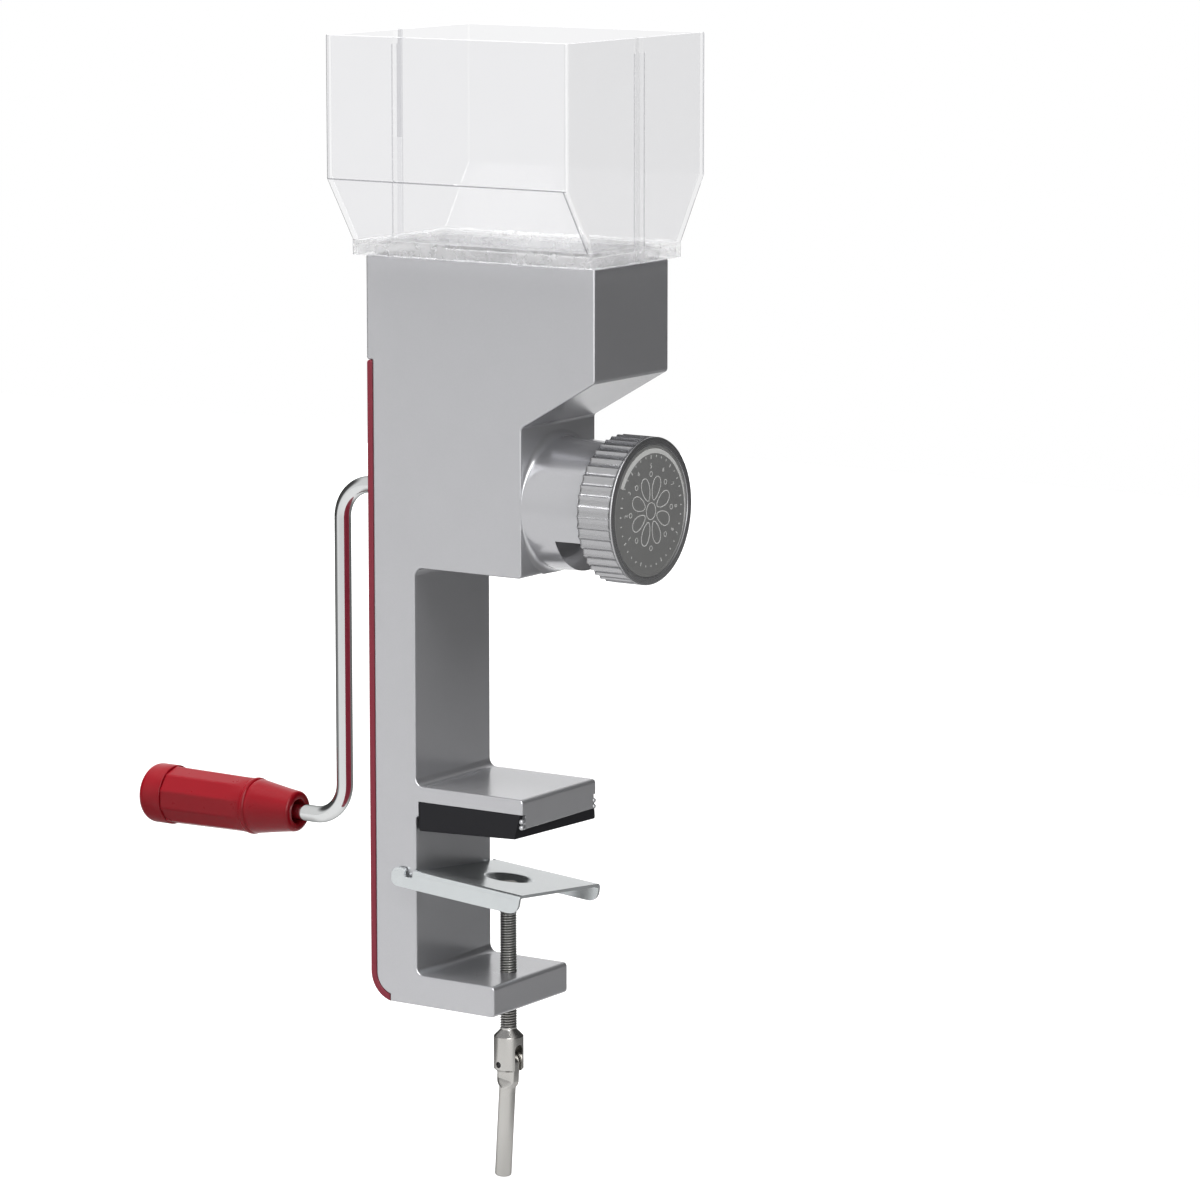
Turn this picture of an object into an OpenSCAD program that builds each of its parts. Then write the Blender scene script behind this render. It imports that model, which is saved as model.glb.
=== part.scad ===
// Hand grain mill that clamps to a table edge. Millimetres, +Z up, knob towards +X.
// The origin is on the clamp screw's axis, at the underside of the rubber pad.
// Inside the modules x runs forward from the casting's rear face, and z runs up
// from the underside of its lower arm. in_frame() moves that to the origin.

/* [Casting] */
// Width of the casting
body_w = 62; // [58:1:68]
// Height of the casting
body_h = 354.8; // [345:0.1:365]
// Length of the head
head_l = 127.4; // [122:0.1:134]
// Distance from the rear face to the face that carries the boss
neck_l = 86.9; // [84:0.1:92]
// Distance from the top of the boss to the slope under the head's nose
slope_up = 6.9; // [5:0.1:9]
// Height of that slope
slope_h = 23.2; // [20:0.1:26]
// How far the head's underside lies below the boss
head_under = 1.1; // [0.8:0.1:3]
// Depth of the column
column_d = 26.8; // [25:0.1:29]
// Thickness of the casting's walls
wall = 5; // [4:0.25:5.5]
// Radius of the rear bottom corner
corner_r = 14; // [12:1:16]
// Radius of the outer corners seen from the side
edge_r = 2; // [1:0.5:3]
// Radius of the inner corners seen from the side
fillet_r = 4; // [2:0.5:6]

/* [Arms and pad] */
// Height of the upper arm's top
arm_top = 105.8; // [98:0.1:112]
// Thickness of the upper arm
arm_t = 14.3; // [12:0.1:16]
// Reach of the upper arm from the rear face
arm_l = 87.4; // [82:0.1:94]
// Height of the rail that the pad slides on
rail_h = 7.2; // [6:0.1:8]
// Depth of the rebate at each side of the rail
rail_in = 2.7; // [2:0.1:3.5]
// Thickness of the rubber under the arm
pad_t = 6; // [4:0.5:8]
// Distance from the pad's front to the end of the arm
pad_set_back = 1.4; // [1:0.1:4]
// Radius of the inner corner behind the pad
pad_corner = 1.5; // [1:0.1:2]
// Thickness of the lower arm
foot_t = 14.9; // [13:0.1:18]
// Reach of the lower arm in front of the clamp screw
foot_front = 13; // [10:0.5:18]

/* [Rear cover] */
// Thickness of the cover
cover_t = 3.2; // [2.5:0.1:4]
// Height of the cover's upper edge
cover_h = 305.5; // [290:0.5:320]
// How far the cover reaches above the hollow behind it
cover_lap = 8; // [6:0.5:10]
// How far the cover reaches forward under the casting
cover_wrap = 11; // [9:0.5:12]
// Diameter of a cover screw
screw_d = 4; // [3:0.5:4.5]
// Length of a cover screw
screw_l = 14; // [12:1:16]
// Distance of the lower screws above the lower arm
screw_low = 12; // [10:1:30]
// Distance of the upper screws below the cover's upper edge
screw_high = 20; // [16:1:30]

/* [Boss and outlet] */
// Height of the drive axis
axis_z = 241.5; // [236:0.1:247]
// Diameter of the boss at its root
boss_d = 62; // [60:0.5:64]
// Diameter of the boss at the knob
boss_front_d = 59.6; // [57:0.1:61]
// Length of the boss
boss_l = 32.1; // [30:0.1:35]
// Wall of the boss round the burr carrier
boss_wall = 3.8; // [3.4:0.1:4.6]
// Length of the carrier's bore behind the boss's root
bore_in = 10.9; // [10:0.1:12]
// Step from the boss down to the register that the knob turns on
register_step = 0.8; // [0.6:0.1:1]
// Length of that register
register_l = 6; // [5:0.5:7]
// Distance from the boss's root to the flour outlet
outlet_set = 16.3; // [15:0.1:18]
// Depth of the outlet's upper edge below the drive axis
outlet_drop = 13.5; // [11:0.5:16]
// Diameter of the feed chamber
feed_d = 40; // [36:0.5:42]
// Rear end of the feed chamber, from the rear face
feed_rear = 34; // [32:0.5:37]
// Length of the throat above the feed screw
throat_l = 30; // [24:1:34]
// Width of the throat
throat_w = 30; // [24:1:34]

/* [Drive line] */
// Diameter of the drive shaft
shaft_d = 14; // [13:0.5:16]
// Step from the shaft down to the rotor burr's seat
seat_step = 1; // [0.8:0.1:1.5]
// Diameter of the shaft's front journal
journal_d = 8; // [7:0.5:9]
// Length of the shaft behind the casting's rear face
shaft_out = 14; // [12:1:18]
// Depth of the crank socket in the shaft
socket_l = 24; // [20:1:28]
// Length of the rear bush
bush_l = 24; // [20:1:26]
// Wall of the rear bush
bush_wall = 3; // [2:0.5:3.5]
// Thickness of a flange, a thrust washer or a circlip
ring_t = 1.2; // [1:0.1:1.5]
// Depth of a circlip's groove
groove = 0.8; // [0.6:0.1:1]
// Wall of the feed screw round the shaft
core_wall = 4; // [3:0.5:5]
// Pitch of the feed screw
feed_pitch = 27; // [20:1:32]
// Thickness of the feed screw's flight
flight_t = 5; // [4:0.5:6]
// Width of the rotor burr's key
key_w = 3; // [2:0.5:4]

/* [Burrs and adjuster] */
// Length of the burrs
burr_l = 20; // [17:0.5:22]
// Mouth diameter of the stator burr
burr_mouth_d = 31; // [28:0.5:34]
// Wall of the stator burr at its front
stator_rim = 1.4; // [1:0.1:2]
// Play between the burrs at the setting drawn, square to the axis
burr_play = 0.7; // [0.5:0.05:1]
// Number of grooves in each burr
burr_grooves = 16; // [8:1:20]
// Depth of those grooves
burr_cut = 1.27; // [0.8:0.01:1.4]
// Wall of the burr carrier
carrier_wall = 2; // [1.5:0.1:2.5]
// Length that the carrier moves each way
carrier_travel = 0.75; // [0.5:0.05:0.9]
// Radial step from the carrier's bore to its thread
nose_in = 6; // [5:0.5:8]
// Wall of the carrier inside its thread
nose_wall = 4; // [3:0.5:5]
// Length of the carrier's thread
nose_l = 8; // [6:0.5:9]
// Wall of the carrier's hub
hub_wall = 2; // [1.5:0.1:2.5]
// Length of the front bush
front_bush_l = 7; // [6:0.5:8]
// Wall of the front bush
front_bush_wall = 3; // [2:0.5:3.5]
// Diameter of the screw that keeps the carrier from turning
guide_d = 4; // [3:0.5:5]

/* [Knob] */
// Wall of the knob round the boss's register
knob_wall = 4.9; // [4.4:0.1:6]
// Length of the knob
knob_l = 19.1; // [17:0.1:22]
// Number of flutes round the knob
knob_flutes = 44; // [36:1:50]
// Diameter of the cutter that shapes a flute
flute_d = 3.4; // [2.5:0.1:4]
// Depth of a flute
flute_cut = 1; // [0.6:0.1:1.2]
// Width of the knob's rim round the dial plate
dial_rim = 3.7; // [3:0.1:5]
// Thickness of the dial plate
dial_t = 1.8; // [1.2:0.1:2.2]
// Depth of the dial plate's face below the rim
dial_set = 0.2; // [0.1:0.1:0.5]
// Thickness of the knob's web
web_t = 4; // [3:0.5:5]

/* [Hopper] */
// Width of the hopper's top
hopper_top_w = 115.5; // [100:0.5:130]
// Gap between the casting's sides and the hopper's skirt
hopper_side_gap = 4.7; // [3:0.1:6]
// Gap between the head's ends and the hopper's end walls
hopper_end_gap = 1.1; // [0.8:0.1:3]
// Height of the hopper's top above the casting
hopper_h = 102.6; // [90:0.2:120]
// Height of the fold above the casting
fold_h = 36.7; // [30:0.1:42]
// Height of the skirt's top above the casting
skirt_h = 7.4; // [6:0.1:9]
// Thickness of the hopper's walls
hopper_wall = 2.4; // [2:0.1:3]
// Height of the skirt's lower edge above the casting
skirt_gap = 1; // [0.5:0.1:2]
// Depth of the hopper's plug in the casting
plug_l = 8; // [5:0.5:12]
// Width of the strip over each seam of the hopper
strip_w = 8; // [6:0.5:10]
// Thickness of those strips
strip_t = 0.8; // [0.5:0.1:1.5]
// Distance from the strips' upper ends to the hopper's top
strip_down = 7; // [3:0.5:12]

/* [Crank] */
// Diameter of the crank rod
rod_d = 8; // [7:0.25:9]
// Distance between the drive axis and the grip's axis
crank_r = 163.5; // [140:0.5:180]
// Distance of the crank's long leg from the rear face
crank_out = 37; // [33:0.5:45]
// Radius of the crank's bends
bend_r = 17; // [14:0.5:19]
// Diameter of the crank's grub screw
grub_d = 5; // [4:0.5:5.5]

/* [Grip] */
// Distance from the crank's long leg to the grip
grip_gap = 27.5; // [24:0.5:31]
// Length of the grip
grip_l = 75; // [66:1:90]
// Length of the cap at the grip's end
cap_l = 15.5; // [12:0.5:18]
// Diameter of the grip's near end
grip_near_d = 20; // [18:0.5:22]
// Diameter of the grip's flats next to the collar, across the corners
grip_d = 27.2; // [25:0.2:29.4]
// How much farther out the flats stand at the cap than at the collar
grip_flare = 0.7; // [0.3:0.1:1.2]
// Number of flats round the grip
grip_flats = 10; // [8:1:12]
// How far the collar stands out past the flats
collar_step = 0.3; // [0.2:0.1:0.8]
// Length of the collar
collar_l = 3.5; // [2.5:0.5:6]
// How far the cap stands out past the flats
cap_step = 0.3; // [0.2:0.1:0.8]
// Radius of the cap's rim
cap_edge = 4; // [3:0.5:5]
// Length of the taper at the near end
taper_l = 24.5; // [20:0.5:29]
// Depth of the recess round the rod at the near end
recess_l = 8; // [5:0.5:10]
// Width of that recess
recess_w = 2; // [1:0.5:3]
// Depth of the well for the circlip at the far end
well_l = 9; // [8:0.5:12]
// Length of the cap's plug in that well
cap_plug = 3; // [2:0.5:3.5]
// Distance from the rod's end to the cap
rod_short = 4; // [3.5:0.5:5]

/* [Clamp screw] */
// Distance of the clamp screw from the rear face
clamp_x = 58; // [54:0.1:62]
// Diameter of the clamp screw's thread
spindle_d = 8; // [7:0.5:9]
// Length of the thread below the lower arm
thread_low = 13; // [13:0.5:18]
// Length of the cone above the fork
cone_l = 3; // [2:0.5:4]
// Diameter of the fork
fork_d = 14.2; // [13:0.1:16]
// Solid length above the fork's slot
fork_root = 4; // [3:0.5:6]
// Width of the fork's slot
slot_w = 5; // [4.6:0.1:5.4]
// Depth of the fork's slot
slot_l = 13; // [12:0.5:14]
// Height of the lever's pin above the fork's end
pin_up = 3.4; // [3:0.1:4]
// Diameter of the lever's pin
pin_d = 3; // [2.5:0.1:3.4]
// Turn of the fork about the screw's axis
fork_turn = 10; // [-45:5:45]
// Diameter of the lever
lever_d = 7.9; // [7:0.1:8.5]
// Length of the lever below its pin
lever_l = 56; // [50:1:80]
// Lean of the lever towards the column
lever_lean = 4; // [-10:1:10]
// Width of the lever's tongue
tongue_w = 11; // [9.5:0.5:12]
// Play at each side of the tongue
tongue_play = 0.2; // [0.1:0.05:0.3]
// Length over which the lever flattens to its tongue
tongue_blend = 4; // [3:0.5:5]

/* [Pressure plate] */
// Distance from the pad down to the plate's top, as drawn
clamp_gap = 25.2; // [20:0.1:50]
// Thickness of the sheet
sheet_t = 1.5; // [1.2:0.1:1.7]
// Play between the casting's sides and the plate's ears
ear_play = 2; // [1.6:0.1:3]
// Reach of the plate in front of the screw
plate_front = 29.3; // [26:0.1:33]
// Height of the flanges
flange_h = 9.2; // [8.2:0.1:11]
// Radius of the flanges' front corners
flange_r = 5; // [3:0.1:6]
// Length of the ears beside the column
ear_l = 14; // [12:0.5:16]
// Radius of the ears' corners
ear_r = 3.9; // [2:0.1:4]
// Width of the notch in each ear
notch_w = 5; // [4:0.5:6]
// Depth of that notch
notch_h = 4; // [3:0.1:4.5]
// Play between the plate and the column
column_play = 1.6; // [1.4:0.1:2.5]
// Floor diameter of the dish
dish_floor_d = 15; // [14:0.1:17]
// Widening of the dish from its floor to its mouth, at each side
dish_flare = 3.9; // [3:0.1:5]
// Depth of the dish
dish_h = 4; // [3.6:0.1:5]
// Step from the screw's thread down to the neck that the plate rocks on
neck_step = 1; // [0.8:0.1:1.4]
// Width of the riveted rim round that neck
rivet_rim = 2; // [1.6:0.1:3]
// Height of that rim
rivet_h = 1.6; // [1.2:0.1:2]
// Play between the neck and the plate's hole
neck_play = 0.9; // [0.8:0.1:1.2]
// Tilt of the plate as drawn, from level
plate_tilt = 7.2; // [3:0.1:7.5]
// Direction of the axis that the plate tilts about, from +X
tilt_dir = 140; // [120:1:160]

/* [Clearances] */
// Radial gap between a fixed piece and its seat
snug = 0.05; // [0.02:0.01:0.1]
// Radial gap between a turning piece and its bearing
run = 0.05; // [0.02:0.01:0.1]
// Gap between pieces that move past each other
pass = 0.3; // [0.2:0.05:0.4]
// End play between turning faces
end_play = 0.1; // [0.05:0.05:0.2]

/* [Hidden] */
$fn = 64;
far = 400; // longer than any piece that it cuts
eps = 1; // how far a cut runs past a face
skim = 0.001; // the same for a cone, whose radii it must not change

// Casting
arm_low = arm_top - arm_t;
pad_z = arm_low - pad_t;
rail_top = arm_low + rail_h;
pad_front = arm_l - pad_set_back;
pad_rear = column_d + pad_corner + pass;
foot_l = clamp_x + foot_front;
inner_w = body_w - 2 * wall;
column_in = column_d - wall;
head_low = axis_z - boss_d / 2 - head_under;
slope_low = axis_z + boss_d / 2 + slope_up;
slope_high = slope_low + slope_h;
slope_rise = slope_h / (head_l - neck_l);
slope_wall = wall * sqrt(1 + slope_rise * slope_rise);
boss_end = neck_l + boss_l;
outlet_x = neck_l + outlet_set;
bore_start = neck_l - bore_in;
bore_r = boss_front_d / 2 - boss_wall;
register_r = boss_front_d / 2 - register_step;
register_end = boss_end + register_l;
throat_set = 2; // wall between the throat and the carrier's bore
throat_front = bore_start - throat_set;
throat_rear = throat_front - throat_l;
cavity_front = feed_rear - wall;
cavity_top = cover_h - cover_lap;
cavity_roof = 1.5 * wall; // how far the hollow's slanted roof lies behind the bin's floor
bin_front = head_l - wall;
post_wall = 2.5; // wall round a cover screw
post_end = 2; // wall past its tip
post_set = 1.5; // gap between the screw and the casting's side wall
slot_cross = 0.8; // width of the slots in a screw's head

// Drive line, from the rear to the front
shaft_r = shaft_d / 2;
seat_r = shaft_r - seat_step;
socket_x = socket_l - shaft_out;
bush_rear = feed_rear - bush_l;
bush_r = shaft_r + bush_wall;
flange_x = feed_rear + ring_t;
flange_rim = 2; // how far a flange or a circlip stands out
shaft_clip_x = bush_rear - end_play - ring_t;
washer_x = flange_x + end_play;
feed_x = washer_x + ring_t;
burr_set = 4; // distance of the burrs from the bore's rear end
burr_x = bore_start + burr_set;
burr_end = burr_x + burr_l;
rotor_clip_x = burr_end + end_play;
clip_land = 2; // shaft in front of the rotor's circlip
journal_x = rotor_clip_x + ring_t + clip_land;
core_r = shaft_r + core_wall;
flight_l = bore_start - feed_x;
flight_r = feed_d / 2 - 2 * pass;
flight_angle = 360 * flight_t / feed_pitch;
flight_steps = 6; // steps round the flight's thickness
key_set = 3; // distance of the key from the burr's ends

// Burr carrier and adjuster
carrier_r = bore_r - run;
carrier_in = carrier_r - carrier_wall;
stator_r = carrier_in - snug;
mouth_r = burr_mouth_d / 2;
burr_front_r = stator_r - stator_rim;
groove_rim = 0.6; // wall left outside the stator's grooves
carrier_play = 0.5; // room behind the carrier
carrier_rear = bore_start + carrier_travel + pass + carrier_play;
carrier_front = boss_end - carrier_travel;
front_bush_r = journal_d / 2 + run + front_bush_wall;
window_up = 1; // how far the carrier's window reaches above the outlet
window_z = axis_z - outlet_drop + window_up;
nose_r = bore_r - nose_in;
nose_end = carrier_front + carrier_travel + nose_l;
guide_set = 2; // distance of the guide screw in front of the burrs' rear end
guide_x = burr_x + guide_set;
guide_sink = 1; // depth of the guide screw's head in the casting
guide_low = head_low + guide_sink;
guide_gap = 0.4; // room between its tip and the stator burr
hex_l = 1.5; // depth of a hexagon socket

// Knob
knob_x = boss_end + pass;
knob_end = knob_x + knob_l;
knob_r = register_r + pass + knob_wall;
knob_chamfer = 1;
flute_stop = 2.2; // distance from a flute's end to the knob's face
dial_r = knob_r - dial_rim;
dial_x = knob_end - dial_t - dial_set;
web_x = dial_x - web_t;
skirt_in = register_r + pass;
snap_set = 2.5; // distance of the snap ring's groove in front of the boss
snap_x = boss_end + snap_set;
snap_cut = 1.2; // depth of the snap ring's grooves
nut_wall = 3; // wall of the knob's threaded sleeve
nut_lap = 4.4; // how far that sleeve reaches into the register
nut_x = register_end - nut_lap;
shaft_gap = 1.5; // room between the shaft's end and the knob's web
shaft_end = web_x - shaft_gap;

// Hopper
hopper_over = hopper_end_gap + hopper_wall;
hopper_rear = -hopper_over;
hopper_front = head_l + hopper_over;
base_half = body_w / 2 + hopper_side_gap + hopper_wall;
top_half = hopper_top_w / 2;
floor_h = skirt_h - hopper_wall;
taper_k = (top_half - base_half) / (fold_h - skirt_h);
slant = sqrt(1 + taper_k * taper_k);

// Crank and grip
grip_z = axis_z - crank_r;
grip_x = -crank_out - grip_gap;
grip_bore = rod_d / 2 + 2 * run;
rod_end = grip_l - rod_short;
clip_at = grip_l - well_l + end_play;
collar_r = grip_d / 2 + collar_step;
cap_r = grip_d / 2 + grip_flare + cap_step;
taper_step = 0.6; // step from the taper up to the collar
near_chamfer = [2, 1.5]; // length and depth at the grip's near end
clip_rim = 1; // gap between the grip's circlip and its well

// Clamp
plate_z = pad_z - clamp_gap;
plate_w = body_w + 2 * (ear_play + sheet_t);
plate_rear = column_d + column_play - clamp_x;
ear_rear = plate_rear - ear_l;
notch_set = 2; // distance of the notch from the plate's rear edge
notch_r = [1, 1.5]; // radii at its floor and at the ear
pivot_z = plate_z - dish_h - sheet_t / 2;
plate_top = dish_h + sheet_t / 2;
flange_low = plate_top - flange_h;
dish_r = dish_floor_d / 2 + dish_flare;
neck_r = spindle_d / 2 - neck_step;
rivet_r = neck_r + rivet_rim;
rivet_chamfer = 1.2;
tilt_rise = tan(plate_tilt);
washer_set = 1; // gap between the washer's rim and the dish's floor rim
washer_r = dish_floor_d / 2 - washer_set;
washer_top = pivot_z - sheet_t / 2 - washer_r * tilt_rise - end_play;
shoulder_z = washer_top - ring_t;
rivet_z = pivot_z + sheet_t / 2 + rivet_r * tilt_rise + end_play;
fork_l = slot_l + fork_root;
fork_top = -thread_low - cone_l;
fork_end = fork_top - fork_l;
pin_z = fork_end + pin_up;
pin_short = 1; // how far the lever's pin lies inside the fork at each end
end_chamfer = 1; // chamfer of the fork's and the lever's ends
tongue_t = slot_w - 2 * tongue_play;
tongue_end = norm([fork_d / 2, pin_up]); // reach of the fork's corner from the pin
lever_top = tongue_end + tongue_blend;

// Rounds each corner [x, y, radius] of an outline with an arc of short steps
function unit(v) = v / norm(v);
function corner(a, p, b, r, steps = 6) =
    let (u = unit(a - p), v = unit(b - p), half = acos(u * v) / 2,
         c = p + unit(u + v) * r / sin(half),
         s = p + u * r / tan(half) - c, e = p + v * r / tan(half) - c,
         from = atan2(s.y, s.x), turn = atan2(s.x * e.y - s.y * e.x, s * e))
    [for (i = [0 : steps]) c + r * [cos(from + turn * i / steps), sin(from + turn * i / steps)]];
function flat_point(p) = [p.x, p.y];
function rounded(points) =
    let (n = len(points))
    [for (i = [0 : n - 1])
        each points[i].z == 0 ? [flat_point(points[i])]
            : corner(flat_point(points[(i + n - 1) % n]), flat_point(points[i]),
                     flat_point(points[(i + 1) % n]), points[i].z)];

// Height of the bin's floor, which lies one wall above the slope under the nose
function bin_floor(x) = slope_low + (x - neck_l) * slope_rise + slope_wall;
bin_low = bin_floor(throat_front);

module in_frame() translate([-clamp_x, 0, -pad_z]) children();
// Extrudes an outline drawn in x and z, centred on the mid plane
module across(w) rotate([90, 0, 0]) linear_extrude(w, center = true) children();
// Extrudes an outline drawn in y and z, from x on
module along(x, l) translate([x, 0, 0]) rotate([90, 0, 90]) linear_extrude(l) children();
// Puts what is drawn along +Z on the drive axis, starting at x
module on_axis(x) translate([x, 0, axis_z]) rotate([0, 90, 0]) children();
module disc(x, l, r) on_axis(x) cylinder(h = l, r = r);
module ring(l, r, hole) difference() {
    cylinder(h = l, r = r);
    translate([0, 0, -eps]) cylinder(h = l + 2 * eps, r = hole);
}
module tube(x, l, r, hole) on_axis(x) ring(l, r, hole);
// Open retaining ring
module circlip(r, hole) difference() {
    ring(ring_t, r, hole);
    translate([0, -hole * 0.6, -eps]) cube([far, hole * 1.2, ring_t + 2 * eps]);
}

// Casting
module casting_outline() polygon(rounded([
    [0, 0, corner_r], [foot_l, 0, edge_r], [foot_l, foot_t, edge_r],
    [column_d, foot_t, fillet_r], [column_d, arm_low, pad_corner], [arm_l, arm_low, 0],
    [arm_l, arm_top, edge_r], [column_d, arm_top, fillet_r], [column_d, head_low, fillet_r],
    [neck_l, head_low, edge_r], [neck_l, slope_low, edge_r], [head_l, slope_high, edge_r],
    [head_l, body_h, 0], [0, body_h, 0]]));

module cover_space() difference() {
    intersection() {
        across(body_w) casting_outline();
        translate([-eps, -body_w, -eps]) cube([cover_wrap + eps, 2 * body_w, cover_h + eps]);
    }
    translate([cover_t, -body_w, corner_r]) cube([far, 2 * body_w, far]);
    translate([corner_r, 0, corner_r]) rotate([90, 0, 0])
        cylinder(h = 2 * body_w, r = corner_r - cover_t, center = true);
}

// Hollow behind the cover, up to the wall under the bin
module column_hollow() difference() {
    across(inner_w) polygon([
        [-eps, foot_t], [column_in, foot_t], [column_in, head_low + wall],
        [cavity_front, head_low + wall],
        [cavity_front, bin_low + throat_rear - cavity_front - cavity_roof],
        [bin_low + throat_rear - cavity_top - cavity_roof, cavity_top], [-eps, cavity_top]]);
    disc(bush_rear, bush_l + eps, bush_r + snug + wall);
    screw_places() cylinder(h = screw_l + post_end, r = screw_d / 2 + post_wall);
}

module screw_places()
    for (side = [-1, 1], z = [foot_t + screw_low, cover_h - screw_high])
        translate([cover_t, side * (inner_w / 2 - screw_d / 2 - post_set), z])
            rotate([0, 90, 0]) children();

module grain_bin() intersection() {
    across(body_w) polygon([
        [wall, body_h + eps], [bin_front, body_h + eps], [bin_front, bin_floor(bin_front)],
        [throat_front, bin_low], [throat_front, axis_z], [throat_rear, axis_z],
        [throat_rear, bin_low], [wall, bin_low + throat_rear - wall]]);
    along(0, head_l) polygon([
        [-throat_w / 2, axis_z], [throat_w / 2, axis_z], [throat_w / 2, bin_low],
        [inner_w / 2, bin_low + (inner_w - throat_w) / 2], [inner_w / 2, body_h + eps],
        [-inner_w / 2, body_h + eps], [-inner_w / 2, bin_low + (inner_w - throat_w) / 2],
        [-throat_w / 2, bin_low]]);
}

module body_casting() color("#c3c4c8") in_frame() difference() {
    union() {
        across(body_w) casting_outline();
        on_axis(neck_l - eps) cylinder(h = boss_l + eps, r1 = boss_d / 2, r2 = boss_front_d / 2);
        disc(boss_end - eps, register_l + eps, register_r);
    }
    cover_space();
    column_hollow();
    grain_bin();
    // Rebates that leave the pad's rail
    for (y = [-body_w / 2 - eps, body_w / 2 - rail_in])
        translate([pad_rear - pass, y, arm_low - eps]) cube([far, rail_in + eps, rail_h + eps]);
    disc(feed_rear, bore_start - feed_rear + eps, feed_d / 2);
    disc(bore_start, register_end - bore_start + eps, bore_r);
    disc(bush_rear - eps, bush_l + 2 * eps, bush_r + snug);
    // Groove for the knob's snap ring
    tube(snap_x, ring_t + 2 * end_play, register_r + eps, register_r - snap_cut);
    // Flour outlet
    translate([outlet_x, -body_w, axis_z - outlet_drop - body_w])
        cube([boss_end - outlet_x, 2 * body_w, body_w]);
    translate([guide_x, 0, head_low - eps]) cylinder(h = 2 * wall, r = guide_d / 2 + snug);
    translate([clamp_x, 0, -eps]) cylinder(h = foot_t + 2 * eps, r = spindle_d / 2 + run);
    screw_places() translate([0, 0, -cover_t]) cylinder(h = screw_l + cover_t, r = screw_d / 2 + snug);
}

module rear_cover() color("#8e1f30") in_frame() difference() {
    cover_space();
    disc(-eps, cover_t + 2 * eps, shaft_r + pass);
    screw_places() translate([0, 0, -cover_t]) {
        translate([0, 0, -eps]) cylinder(h = cover_t + 2 * eps, r = screw_d / 2 + snug);
        cylinder(h = screw_d / 2, r1 = screw_d + snug, r2 = screw_d / 2 + snug);
    }
}

module cover_screws() color("#b9bcc0") in_frame()
    screw_places() translate([0, 0, -cover_t]) difference() {
        union() {
            cylinder(h = screw_d / 2, r1 = screw_d, r2 = screw_d / 2);
            cylinder(h = screw_l, r = screw_d / 2);
        }
        for (a = [0, 90])
            rotate([0, 0, a]) cube([screw_d, slot_cross, 2 * slot_cross], center = true);
    }

// Shoe that slides onto the arm's rail
module rubber_pad() color("#2b2b2f") in_frame() difference() {
    translate([pad_rear, -body_w / 2, pad_z])
        cube([pad_front - pad_rear, body_w, rail_top - snug - pad_z]);
    translate([pad_rear - eps, -body_w / 2 + rail_in - snug, arm_low])
        cube([far, body_w - 2 * rail_in + 2 * snug, far]);
}

// Hopper, moulded in two halves that meet on the mid plane.
// Its outline is seen along x, with the walls moved inwards by t.
module hopper_outline(t) {
    base = base_half - t * slant;
    top = top_half - t;
    fold = fold_h + t * (slant - 1) / taper_k;
    polygon([[-base, skirt_gap], [base, skirt_gap], [base, skirt_h], [top, fold],
             [top, hopper_h], [-top, hopper_h], [-top, fold], [-base, skirt_h]]);
}
// The room inside the walls, open at the top and at the skirt's foot
module hopper_inside() {
    top = top_half - hopper_wall;
    base = base_half - hopper_wall * slant;
    hopper_outline(hopper_wall);
    translate([-top, hopper_h - eps]) square([2 * top, 2 * eps]);
    translate([-base, -eps]) square([2 * base, 2 * eps + skirt_gap]);
}
// The bin's mouth, grown on all sides
module feed_opening(grow, low, high)
    translate([wall - grow, -inner_w / 2 - grow, low])
        cube([bin_front - wall + 2 * grow, inner_w + 2 * grow, high - low]);
// Strips over the seams of the end walls
module seam_strips()
    for (x = [hopper_rear - strip_t, hopper_front - eps])
        translate([x, -strip_w / 2, skirt_gap])
            cube([strip_t + eps, strip_w, hopper_h - strip_down - skirt_gap]);

module hopper_half(side) color("#e8ecee", 0.35) in_frame() translate([0, 0, body_h]) intersection() {
    difference() {
        union() {
            difference() {
                along(hopper_rear, hopper_front - hopper_rear) hopper_outline(0);
                difference() {
                    along(-hopper_end_gap, head_l + 2 * hopper_end_gap) hopper_inside();
                    translate([-far / 2, -far / 2, floor_h]) cube([far, far, hopper_wall]);
                }
            }
            // Seat that stands on the casting's rim, and the plug inside it
            feed_opening(hopper_wall, 0, skirt_h);
            feed_opening(-pass, -plug_l, floor_h);
            seam_strips();
        }
        feed_opening(-pass - hopper_wall, -plug_l - eps, skirt_h + eps);
    }
    translate([-far / 2, side > 0 ? 0 : -far, -far / 2]) cube([far, far, far]);
}
module hopper_near_half() hopper_half(-1);
module hopper_far_half() hopper_half(1);

// Drive line
module rear_bush() color("#b08d57") in_frame() union() {
    tube(bush_rear, bush_l, bush_r, shaft_r + run);
    tube(feed_rear, ring_t, bush_r + flange_rim, shaft_r + run);
}

module drive_shaft() color("#aeb2b6") in_frame() difference() {
    union() {
        disc(-shaft_out, burr_x + shaft_out, shaft_r);
        disc(burr_x - eps, journal_x - burr_x + eps, seat_r);
        disc(journal_x - eps, shaft_end - journal_x + eps, journal_d / 2);
    }
    disc(-shaft_out - eps, socket_l + eps, rod_d / 2 + snug);
    tube(shaft_clip_x, ring_t, shaft_d, shaft_r - groove);
    tube(rotor_clip_x, ring_t, shaft_d, seat_r - groove);
    key_space(snug);
    translate([-shaft_out / 2, 0, axis_z]) cylinder(h = shaft_d, r = grub_d / 2 + snug);
}

module shaft_circlip() color("#6d7175") in_frame()
    on_axis(shaft_clip_x) circlip(shaft_r + flange_rim, shaft_r - groove + snug);

module thrust_washer() color("#c9ccd0") in_frame()
    tube(washer_x, ring_t, bush_r + flange_rim, shaft_r + snug);

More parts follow.
